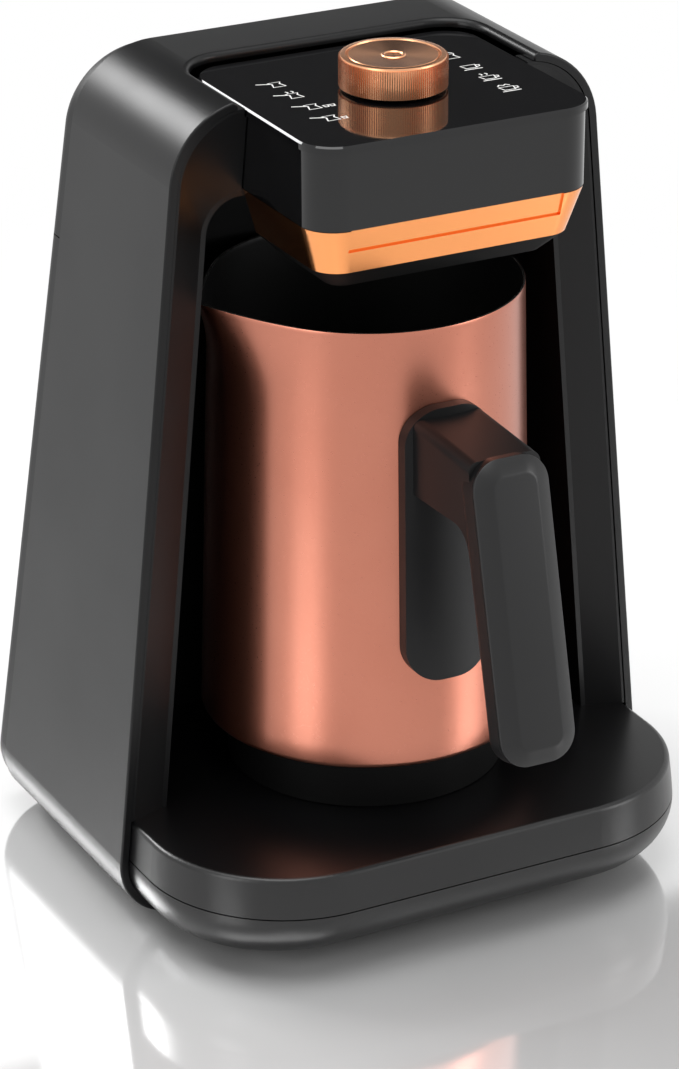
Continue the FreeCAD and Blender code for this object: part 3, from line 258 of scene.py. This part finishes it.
# %% [markdown]
# ## Polished black and dark windows
# The head and the touch panel come from a polished mould: no grain at all, only the long, very slight
# waviness that cooling leaves and that makes reflections swim a little.

# %% Polished black
def polished(name, colour, roughness, ior, wave_mm, wave_depth_mm):
    """Plastic from a polished mould; the wave is the slight unevenness left by cooling."""
    material, tree = new_material(name)
    place = add_node(tree, "ShaderNodeTexCoord")
    wave = add_node(tree, "ShaderNodeTexNoise", inputs={
        "Vector": (place, "Object"), "Scale": 1 / (wave_mm * mm), "Detail": 1.0})
    bump = add_node(tree, "ShaderNodeBump", inputs={
        "Height": (wave, "Fac"), "Distance": wave_depth_mm * mm, "Strength": 0.4})
    dust = add_node(tree, "ShaderNodeTexNoise", inputs={
        "Vector": (place, "Object"), "Scale": 1 / (6 * mm), "Detail": 4.0})
    rough = add_node(tree, "ShaderNodeMapRange", inputs={
        "Value": (dust, "Fac"), "From Min": 0.35, "From Max": 0.75,
        "To Min": roughness, "To Max": roughness + 0.03})
    shader = add_node(tree, "ShaderNodeBsdfPrincipled", inputs={
        "Base Color": linear(colour), "Roughness": (rough, "Result"), "IOR": ior,
        "Normal": (bump, "Normal")})
    finish_tree(tree, shader)
    return material


piano_black_abs = polished("piano_black_abs", "#0c0c0d", 0.07, 1.5, 22, 0.02)
panel_black_pmma = polished("panel_black_pmma", "#08080a", 0.04, 1.49, 30, 0.015)
infrared_window = polished("infrared_window", "#3a0d10", 0.06, 1.5, 12, 0.01)
capacitor_pet = polished("capacitor_pet", "#1a1f33", 0.18, 1.55, 8, 0.02)
print("polished plastics made")


# %% [markdown]
# ## Metals
# A metal has no colour of its own under the shine: its colour is the colour of its reflection. Brushing or
# turning leaves fine scratches in one direction, which stretch every highlight across them. Noise that is
# stretched along one axis gives those scratches; the axis is the one along which the tool ran.

# %% Metals
def metal(name, colour, roughness, scratch_mm=(0.4, 40.0, 40.0), depth_mm=0.004, spread=0.06):
    """Scratched metal; scratch_mm gives the pattern's width along X, Y and Z."""
    material, tree = new_material(name)
    place = add_node(tree, "ShaderNodeTexCoord")
    stretch = add_node(tree, "ShaderNodeMapping", inputs={
        "Vector": (place, "Object"), "Scale": [1 / (s * mm) for s in scratch_mm]})
    scratch = add_node(tree, "ShaderNodeTexNoise", inputs={
        "Vector": (stretch, "Vector"), "Scale": 1.0, "Detail": 4.0, "Roughness": 0.65})
    bump = add_node(tree, "ShaderNodeBump", inputs={
        "Height": (scratch, "Fac"), "Distance": depth_mm * mm, "Strength": 0.5})
    rough = add_node(tree, "ShaderNodeMapRange", inputs={
        "Value": (scratch, "Fac"), "From Min": 0.3, "From Max": 0.7,
        "To Min": roughness, "To Max": roughness + spread})
    shader = add_node(tree, "ShaderNodeBsdfPrincipled", inputs={
        "Base Color": linear(colour), "Metallic": 1.0, "Roughness": (rough, "Result"),
        "Normal": (bump, "Normal")})
    finish_tree(tree, shader)
    return material


metallised_copper = metal("metallised_copper", "#f6a265", 0.16, (30, 30, 30), 0.002, 0.03)
nickel_can = metal("nickel_can", "#c9c6bd", 0.22)
spring_steel = metal("spring_steel", "#b9b4a8", 0.25)
zinc_steel = metal("zinc_steel", "#9a9ca0", 0.32, (3, 3, 3), 0.01, 0.1)
turned_aluminium = metal("turned_aluminium", "#d6d7d8", 0.24, (40, 40, 0.4))
plated_brass = metal("plated_brass", "#d8b46a", 0.2)
pressed_steel = metal("pressed_steel", "#bfc0c2", 0.28)
cast_aluminium = metal("cast_aluminium", "#c4c5c6", 0.45, (1.5, 1.5, 1.5), 0.03, 0.1)
heater_sheath = metal("heater_sheath", "#8f8a80", 0.4, (2, 2, 2), 0.01, 0.1)
print("metals made")


# %% [markdown]
# ## Circuit boards, windings and rubber
# These are inside and hardly ever seen, but they are real: green solder resist over a woven glass board with
# paler copper tracks under it, yellow tape round the transformer, and soft rubber under the feet.

# %% Boards, tape and rubber
def circuit_board(name):
    """Green solder resist, with paler tracks as the joints of a brick pattern."""
    material, tree = new_material(name)
    place = add_node(tree, "ShaderNodeTexCoord")
    tracks = add_node(tree, "ShaderNodeTexBrick", {"offset": 0.5}, {
        "Vector": (place, "Object"), "Scale": 1.0, "Brick Width": 9 * mm, "Row Height": 2.5 * mm,
        "Mortar Size": 0.35 * mm, "Color1": linear("#155c33"), "Color2": linear("#155c33"),
        "Mortar": linear("#3f8f57")})
    bump = add_node(tree, "ShaderNodeBump", inputs={
        "Height": (tracks, "Fac"), "Distance": 0.03 * mm, "Strength": 0.5})
    shader = add_node(tree, "ShaderNodeBsdfPrincipled", inputs={
        "Base Color": (tracks, "Color"), "Roughness": 0.28, "IOR": 1.55, "Normal": (bump, "Normal")})
    finish_tree(tree, shader)
    return material


tape_width = 4 * mm
wave_turn = 6.28


def wound_tape(name):
    """Tape wound in layers, as bands along Z."""
    material, tree = new_material(name)
    place = add_node(tree, "ShaderNodeTexCoord")
    layers = add_node(tree, "ShaderNodeTexWave", {"bands_direction": "Z"}, {
        "Vector": (place, "Object"), "Scale": 1 / (tape_width * wave_turn), "Distortion": 0.4})
    tone = add_node(tree, "ShaderNodeMix", {"data_type": "RGBA"}, {
        "Factor": (layers, "Fac"), "A": linear("#c9a22a"), "B": linear("#b08a1e")})
    shader = add_node(tree, "ShaderNodeBsdfPrincipled", inputs={
        "Base Color": (tone, "Result"), "Roughness": 0.35, "IOR": 1.5})
    finish_tree(tree, shader)
    return material


green_board = circuit_board("green_board")
yellow_tape = wound_tape("yellow_tape")
soft_rubber = moulded("soft_rubber", "#1a1a1a", 0.72, 0.8, 0.03, 0.05)
print("board, tape and rubber made")


# %% [markdown]
# ## Dressing the solids
# Every solid of the frame gets its finish by name. Its shape stays untouched; a material slot is all that
# changes.

# %% Finishes of the solids
finishes = {
    satin_black_abs: ["outer_shell"],
    frame_black_abs: ["front_frame"],
    textured_black_abs: ["rear_cap", "rear_cover"],
    base_black_abs: ["base_deck", "base_pan"],
    soft_rubber: ["foot_front_left", "foot_front_right", "foot_rear_left", "foot_rear_right", "cord_bushing"],
    piano_black_abs: ["head_housing"],
    panel_black_pmma: ["control_panel"],
    matt_black_pbt: ["head_underside", "buzzer", "socket_block", "knob_hub", "pot_base", "pot_base_lid",
                     "pot_plug", "pot_thermostat"],
    infrared_window: ["sensor_window"],
    nickel_can: ["foam_sensor", "encoder_body"],
    green_board: ["sensor_board", "control_board", "power_board"],
    spring_steel: ["touch_springs"],
    white_lamp_epoxy: ["indicator_lamps"],
    ribbon_grey_pvc: ["signal_ribbon"],
    relay_blue_pbt: ["relay"],
    yellow_tape: ["transformer"],
    terminal_green_pa: ["terminal_block"],
    capacitor_pet: ["filter_capacitor"],
    plated_brass: ["socket_contacts", "plug_pins"],
    silicone_white: ["heater_leads"],
    zinc_steel: ["base_screws", "rear_cover_screws", "power_board_screws", "control_board_screws",
                 "head_screws", "pot_base_screws", "handle_screw"],
    natural_pom: ["encoder_plunger"],
    turned_aluminium: ["encoder_shaft"],
    cast_aluminium: ["heater_plate"],
    heater_sheath: ["heater_tube"],
    pressed_steel: ["handle_bracket"],
    handle_black_pbt: ["pot_handle"],
    cover_grey_abs: ["handle_cover"],
    metallised_copper: ["head_trim", "knob_body", "pot_body"],
}
for material, names in finishes.items():
    for name in names:
        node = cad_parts[name]
        node.data.materials.clear()
        node.data.materials.append(material)
undressed = set(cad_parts) - {name for names in finishes.values() for name in names}
print("undressed nodes:", sorted(undressed))


# %% [markdown]
# ## Modelling by hand, in code
# Every new mesh below starts from a primitive and is shaped in edit mode, as by hand. Four small helpers
# stand for what the mouse would do: begin names the new primitive, puts its place into its mesh and enters
# edit mode; pick selects faces, edges or corners by a test; extrude pulls what is picked; done leaves edit
# mode, smooths the flat shading, gives a finish and lets the piece ride on a body of the frame.

# %% Helpers for modelling
def begin(name):
    """Names the new primitive, puts its place into its mesh and enters edit mode."""
    piece = bpy.context.object
    piece.name = name
    piece.data.name = name
    bpy.ops.object.transform_apply(location=True, rotation=True, scale=True)
    bpy.ops.object.mode_set(mode="EDIT")
    return piece


def pick(kind, test):
    """Selects exactly the faces, edges or corners that pass the test."""
    bpy.ops.mesh.select_mode(type=kind)
    bpy.ops.mesh.select_all(action="DESELECT")
    data = bpy.context.object.data
    mesh = bmesh.from_edit_mesh(data)
    mesh.normal_update()
    group = {"FACE": mesh.faces, "EDGE": mesh.edges, "VERT": mesh.verts}[kind]
    chosen = [part for part in group if test(part)]
    for part in chosen:
        part.select_set(True)
    mesh.select_flush_mode()
    bmesh.update_edit_mesh(data)
    return len(chosen)


def extrude(x=0.0, y=0.0, z=0.0, scale=1.0, centre=(0, 0, 0)):
    """Extrudes what is picked, moves it, and scales it across about a centre."""
    bpy.ops.mesh.extrude_region_move(TRANSFORM_OT_translate={"value": (x, y, z)})
    if scale != 1.0:
        bpy.ops.transform.resize(value=(scale, scale, 1), center_override=centre)


def add_modifier(piece, kind, **settings):
    """Adds a modifier with its settings and applies it."""
    bpy.context.view_layer.objects.active = piece
    modifier = piece.modifiers.new(kind.lower(), kind)
    for name, value in settings.items():
        setattr(modifier, name, value)
    bpy.ops.object.modifier_apply(modifier=modifier.name)


def done(piece, own_finishes, body, replaced=(), smooth=32):
    """Finishes a piece and lets it ride on a body; angles up to smooth, in degrees, are smoothed."""
    if bpy.context.mode == "EDIT_MESH":
        bpy.ops.object.mode_set(mode="OBJECT")
    for finish in own_finishes:
        if finish.name not in piece.data.materials:
            piece.data.materials.append(finish)
    bpy.ops.object.select_all(action="DESELECT")
    piece.select_set(True)
    bpy.context.view_layer.objects.active = piece
    bpy.ops.object.shade_smooth_by_angle(angle=math.radians(smooth))
    if replaced:
        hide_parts(*replaced)
    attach(piece, body)
    size = [round(side / mm, 1) for side in piece.dimensions]
    print(piece.name, "has", len(piece.data.polygons), "faces and measures", size, "mm")
    bpy.ops.object.select_all(action="DESELECT")
    return piece


# %% [markdown]
# ## The pot
# The pot is deep drawn from steel sheet: one cup with a tight round at the foot and a lip pulled out to the
# side for pouring. It could be lathed as a profile, but then the spout needs a different tool. We draw the
# floor as a disc, pull its edge outwards for the round and upwards for the wall, ring by ring, and then pull
# one point of the rim sideways with proportional editing, which drags its neighbours along as a press does.
# Solidify gives the sheet its thickness, with its own materials inside and on the rim.

# %% The pot's shape
low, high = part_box("pot_body")
foot_radius = high.x
pot_radius = foot_radius - 3.4 * mm
pot_middle = Vector((0, (low.y + high.y) / 2, low.z))
pot_height = high.z - low.z
spout_reach = -low.x - pot_radius
foot_round = 2.0 * mm
foot_steps = 5
floor_border = 1.2 * mm
bpy.ops.mesh.primitive_circle_add(
    vertices=192, radius=foot_radius - foot_round, fill_type="NGON", location=pot_middle)
pot = begin("pot_shell")
pick("FACE", lambda f: True)
bpy.ops.mesh.inset(thickness=floor_border)
pick("EDGE", lambda e: e.is_boundary)
radius, height = foot_radius - foot_round, 0.0
for step in range(1, foot_steps + 1):
    angle = math.radians(90 / foot_steps * step)
    new_radius = foot_radius - foot_round + foot_round * math.sin(angle)
    new_height = foot_round * (1 - math.cos(angle))
    extrude(z=new_height - height, scale=new_radius / radius, centre=pot_middle)
    radius, height = new_radius, new_height
wall_rings = [8, 24, 44, 62, 76, 86, 94, 100, 105, 109, 113, 116.5, 120, 123, 126, 128.5, 131, 133, 135]
for ring in [r * mm for r in wall_rings if r * mm < pot_height - 1 * mm] + [pot_height]:
    new_radius = foot_radius + (pot_radius - foot_radius) * ring / pot_height
    extrude(z=ring - height, scale=new_radius / radius, centre=pot_middle)
    radius, height = new_radius, ring
print("pot wall drawn to", round(height / mm, 1), "mm")

# %% [markdown]
# The spout is pressed out of the finished rim. A separate piece could be joined on, but the real one has no
# seam, so a few rim points are pulled sideways and a little up, and their neighbours follow less and less.

# %% The spout
spout_width = math.radians(3.0)
spout_lift = 1.2 * mm
spout_spread = 29 * mm
pulled = pick("VERT", lambda v: v.co.z > low.z + pot_height - 0.1 * mm and v.co.x < 0
              and abs(v.co.y - pot_middle.y) < pot_radius * math.sin(spout_width))
bpy.ops.transform.translate(
    value=(-spout_reach, 0, spout_lift), use_proportional_edit=True,
    proportional_edit_falloff="SHARP", proportional_size=spout_spread)
pick("VERT", lambda v: v.co.z > low.z + pot_height - 0.1 * mm)
print("spout pulled from", pulled, "rim points")

# %% [markdown]
# The lacquer is sprayed on brushed steel and stoved: a clear film tinted copper, so the metal shines through
# with a soft, satin gloss. The inside is painted shade: a near-black finish that stands for the dark head
# mirrored in the steel wall, which leaves only the rim as bare steel.
# An open cup has no clear outside, so its floor, which has to face down, tells whether to flip the normals.
# Solidify then adds the wall inwards, with the painted shade inside and the bare steel on the rim.

# %% Finish of the pot
copper_lacquer, tree = new_material("copper_lacquer_on_steel")
place = add_node(tree, "ShaderNodeTexCoord")
speck = add_node(tree, "ShaderNodeTexNoise", inputs={
    "Vector": (place, "Object"), "Scale": 1 / (0.7 * mm), "Detail": 3.0, "Roughness": 0.7})
cloud = add_node(tree, "ShaderNodeTexNoise", inputs={
    "Vector": (place, "Object"), "Scale": 1 / (30 * mm), "Detail": 2.0})
tone = add_node(tree, "ShaderNodeMix", {"data_type": "RGBA"}, {
    "Factor": (cloud, "Fac"), "A": linear("#b8705a"), "B": linear("#c07a64")})
rough = add_node(tree, "ShaderNodeMapRange", inputs={
    "Value": (speck, "Fac"), "From Min": 0.3, "From Max": 0.7, "To Min": 0.27, "To Max": 0.33})
bump = add_node(tree, "ShaderNodeBump", inputs={
    "Height": (speck, "Fac"), "Distance": 0.006 * mm, "Strength": 0.5})
shader = add_node(tree, "ShaderNodeBsdfPrincipled", inputs={
    "Base Color": (tone, "Result"), "Metallic": 1.0, "Roughness": (rough, "Result"),
    "Coat Weight": 0.5, "Coat Roughness": 0.22, "Normal": (bump, "Normal")})
finish_tree(tree, shader)
polished_steel = metal("polished_steel", "#cfccc8", 0.24, (30, 30, 0.5), 0.004, 0.06)
# Painted shade: the inside wall is near-black to stand for the dark head mirrored in the steel.
inside_painted_shade = moulded("pot_inside_painted_shade_black", "#050505", 0.5, 0.5, 0.01)

bpy.ops.mesh.select_all(action="SELECT")
bpy.ops.mesh.normals_make_consistent(inside=False)
if pick("FACE", lambda f: f.normal.z > 0.9):
    bpy.ops.mesh.select_all(action="SELECT")
    bpy.ops.mesh.flip_normals()
bpy.ops.object.mode_set(mode="OBJECT")
pot.data.materials.append(copper_lacquer)
pot.data.materials.append(inside_painted_shade)
pot.data.materials.append(polished_steel)
sheet, rim_break = 1.0 * mm, 0.25 * mm
# The solidified inner wall takes the painted shade, and the rim takes the bare steel.
add_modifier(pot, "SOLIDIFY", thickness=sheet, offset=-1.0, use_even_offset=True,
             material_offset=1, material_offset_rim=2)
add_modifier(pot, "BEVEL", width=rim_break, segments=2, limit_method="ANGLE", angle_limit=math.radians(50))
done(pot, [], "pot", ["pot_body"], smooth=40)


# %% [markdown]
# ## The knob
# The knob is turned from aluminium bar and anodised: its side is knurled straight, its top is faced off with
# a fine feed that catches the light like a record, inside a thin raised rim. Cutting the knurl with an array
# of ribs works too, but here every second strip of a 288-sided cylinder is pulled out a little.

# %% The knob's shape
low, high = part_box("knob_body")
knob_radius = high.x
knob_middle = Vector((0, (low.y + high.y) / 2, (low.z + high.z) / 2))
rib_depth = 0.42 * mm
knob_sides = 288
top_break, bottom_break = 0.55 * mm, 0.3 * mm
bpy.ops.mesh.primitive_cylinder_add(
    vertices=knob_sides, radius=knob_radius - rib_depth, depth=high.z - low.z, location=knob_middle)
knob = begin("knob_turned")
top, bottom = high.z, low.z
pick("EDGE", lambda e: all(v.co.z > top - 0.01 * mm for v in e.verts))
bpy.ops.mesh.bevel(offset=top_break, segments=2, affect="EDGES")
pick("EDGE", lambda e: all(v.co.z < bottom + 0.01 * mm for v in e.verts))
bpy.ops.mesh.bevel(offset=bottom_break, segments=1, affect="EDGES")
half_height = (high.z - low.z) * 0.5
side_turn = 360 / knob_sides


def side_strip(f):
    """True for every second tall face round the side."""
    centre = f.calc_center_median()
    tall = max(v.co.z for v in f.verts) - min(v.co.z for v in f.verts)
    around = math.degrees(math.atan2(centre.y - knob_middle.y, centre.x))
    return tall > half_height and int(round((around + 360) / side_turn - 0.5)) % 2 == 0


ribs = pick("FACE", side_strip)
bpy.ops.mesh.extrude_faces_move(TRANSFORM_OT_shrink_fatten={"value": rib_depth})
bpy.ops.transform.resize(value=(1, 1, 0.985), center_override=knob_middle)
print("knurl ribs:", ribs)

# %% [markdown]
# On the lathe, a thin rim and a small step round the middle are left standing. The turned face could be a
# lathed profile; here the same steps are insets that are moved up or down, each in millimetres. The feed
# marks run in circles, so the finish stretches its highlights round the axis.

# %% The knob's turned face
pick("FACE", lambda f: f.normal.z > 0.9 and len(f.verts) > 100)
for inset, drop in ((1.0, 0.0), (0.25, -0.55), (0.35, 0.0), (0.25, 0.35), (9.2, -0.25), (0.35, 0.3),
                    (0.5, 0.0), (0.3, -0.3)):
    bpy.ops.mesh.inset(thickness=inset * mm)
    if drop:
        bpy.ops.transform.translate(value=(0, 0, drop * mm))
turned_copper, tree = new_material("copper_anodised_aluminium")
place = add_node(tree, "ShaderNodeTexCoord")
centred = add_node(tree, "ShaderNodeMapping", {"vector_type": "POINT"}, {
    "Vector": (place, "Object"), "Location": (0, -knob_middle.y, 0), "Scale": (1, 1, 0)})
out = add_node(tree, "ShaderNodeVectorMath", {"operation": "LENGTH"}, {0: (centred, "Vector")})
feed = add_node(tree, "ShaderNodeTexNoise", {"noise_dimensions": "1D"}, {
    "W": (out, "Value"), "Scale": 1 / (0.35 * mm), "Detail": 3.0, "Roughness": 0.7})
tone = add_node(tree, "ShaderNodeMix", {"data_type": "RGBA"}, {
    "Factor": (feed, "Fac"), "A": linear("#d9976c"), "B": linear("#eab38d")})
tangent = add_node(tree, "ShaderNodeTangent", {"direction_type": "RADIAL", "axis": "Z"})
shader = add_node(tree, "ShaderNodeBsdfPrincipled", inputs={
    "Base Color": (tone, "Result"), "Metallic": 1.0, "Roughness": 0.26, "Anisotropic": 0.8,
    "Tangent": (tangent, "Tangent")})
finish_tree(tree, shader)
done(knob, [turned_copper], "knob", ["knob_body"], smooth=25)


# %% [markdown]
# ## The grip's cover
# A long cap snaps onto the grip: a flat face with wide bevels all round and softly broken edges. We start
# from a block, round its four long corners, inset the front face and push it forward to draw the bevels.
# It is modelled upright and then leaned over by the grip's 14 degrees, so that its edges stay easy to pick.

# %% The cover's shape
grip_middle = Vector((0, shell_front - 80.5 * mm, 119.6 * mm))
grip_lean = math.radians(-14)
cover_half, cover_length = 12 * mm, 89 * mm
cover_seat, cover_rim, cover_rise, cover_bevel = 0.15 * mm, 0.9 * mm, 3.2 * mm, 4.9 * mm
bpy.ops.mesh.primitive_cube_add(size=1, location=(0, -cover_seat - cover_rim / 2, 0),
                                scale=(2 * cover_half, cover_rim, cover_length))
cover = begin("grip_cover")
pick("EDGE", lambda e: abs((e.verts[0].co - e.verts[1].co).normalized().y) > 0.99)
bpy.ops.mesh.bevel(offset=8.5 * mm, segments=12, affect="EDGES")
pick("FACE", lambda f: f.normal.y < -0.9)
bpy.ops.mesh.inset(thickness=cover_bevel)
bpy.ops.transform.translate(value=(0, -(cover_rise - cover_rim), 0))
front = -cover_seat - cover_rise
pick("EDGE", lambda e: all(v.co.y < front + 0.01 * mm for v in e.verts))
bpy.ops.mesh.bevel(offset=0.5 * mm, segments=3, affect="EDGES")
pick("EDGE", lambda e: all(abs(v.co.y + cover_seat + cover_rim) < 0.01 * mm for v in e.verts))
bpy.ops.mesh.bevel(offset=0.35 * mm, segments=2, affect="EDGES")
bpy.ops.object.mode_set(mode="OBJECT")
cover.rotation_euler = (grip_lean, 0, 0)
cover.location = grip_middle
bpy.ops.object.transform_apply(location=True, rotation=True, scale=True)
done(cover, [cover_grey_abs], "pot", ["handle_cover"], smooth=20)


# %% [markdown]
# ## Touch marks on the panel
# White marks are screen printed under each touch key: long-handled pots on the left, cups on the right. A
# print is a film of ink, so each mark is drawn as thin strokes, made a mesh and pressed flat onto the panel.
# An image laid on the panel would blur up close, and strokes stay sharp.

# %% Marks
screen_ink, tree = new_material("white_screen_print_ink")
place = add_node(tree, "ShaderNodeTexCoord")
mesh_grain = add_node(tree, "ShaderNodeTexNoise", inputs={
    "Vector": (place, "Object"), "Scale": 1 / (0.25 * mm), "Detail": 2.0})
tone = add_node(tree, "ShaderNodeMix", {"data_type": "RGBA"}, {
    "Factor": (mesh_grain, "Fac"), "A": linear("#e4e4e2"), "B": linear("#f7f7f5")})
shader = add_node(tree, "ShaderNodeBsdfPrincipled", inputs={
    "Base Color": (tone, "Result"), "Roughness": 0.45, "IOR": 1.5})
finish_tree(tree, shader)

panel_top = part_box("control_panel")[1].z
mark_size = 1.3 * mm
stroke_radius, ink_flatness, ink_lift = 0.27 * mm, 0.1, 0.02 * mm
key_pitch, first_key = 11.1, -18.0
left_column, right_column = -28.0 * mm, 28.5 * mm
pot_mark = [[(-1.5, 1.5), (-0.9, 0.4), (-1.5, -1.6), (1.5, -1.6), (0.9, 0.4), (1.5, 1.5), (-1.5, 1.5)],
            [(-1.2, 0.8), (-4.2, 1.9)]]
cup_mark = [[(-1.8, 1.1), (-1.3, -1.0), (1.3, -1.0), (1.8, 1.1), (-1.8, 1.1)],
            [(1.7, 0.7), (2.6, 0.5), (2.3, -0.4), (1.5, -0.5)], [(-2.3, -1.8), (2.3, -1.8)]]
steam = [[(-0.7, 1.9), (-0.4, 2.5), (-0.7, 3.1)], [(0.6, 1.9), (0.9, 2.5), (0.6, 3.1)]]
small_cups = [[(2.4 + 1.5 * i, -1.5), (3.2 + 1.5 * i, -1.5), (3.4 + 1.5 * i, -0.4), (2.2 + 1.5 * i, -0.4),
               (2.4 + 1.5 * i, -1.5)] for i in range(2)]
foam = [[(-1.5, 1.9), (-0.8, 2.7), (0.0, 2.1), (0.8, 2.7), (1.5, 1.9)]]


def mark(name, strokes, x, y):
    """Draws the strokes of one mark as thin wires and presses them flat."""
    line = bpy.data.curves.new(name, "CURVE")
    line.dimensions = "3D"
    line.bevel_depth = stroke_radius
    line.bevel_resolution = 1
    line.use_fill_caps = True
    for points in strokes:
        closed = points[0] == points[-1]
        path = line.splines.new("POLY")
        corners = points[:-1] if closed else points
        path.points.add(len(corners) - 1)
        path.use_cyclic_u = closed
        for spot, (px, py) in zip(path.points, corners):
            spot.co = (px * mark_size, py * mark_size, 0, 1)
    drawn = bpy.data.objects.new(name, line)
    scene.collection.objects.link(drawn)
    bpy.ops.object.select_all(action="DESELECT")
    drawn.select_set(True)
    bpy.context.view_layer.objects.active = drawn
    bpy.ops.object.convert(target="MESH")
    drawn = bpy.context.object
    drawn.scale = (1, 1, ink_flatness)
    drawn.location = (x, y, panel_top + ink_lift)
    bpy.ops.object.transform_apply(location=True, rotation=True, scale=True)
    return done(drawn, [screen_ink], "machine", smooth=30)


key_rows = [shell_front + (first_key + key_pitch * i) * mm for i in range(4)]
left_marks = [pot_mark + small_cups[:1], pot_mark + small_cups, pot_mark + steam, pot_mark]
right_marks = [cup_mark + foam, cup_mark + steam, cup_mark, pot_mark + foam]
for row, y in enumerate(key_rows):
    mark(f"left_mark_{row + 1}", left_marks[row], left_column, y)
    mark(f"right_mark_{row + 1}", right_marks[row], right_column, y)
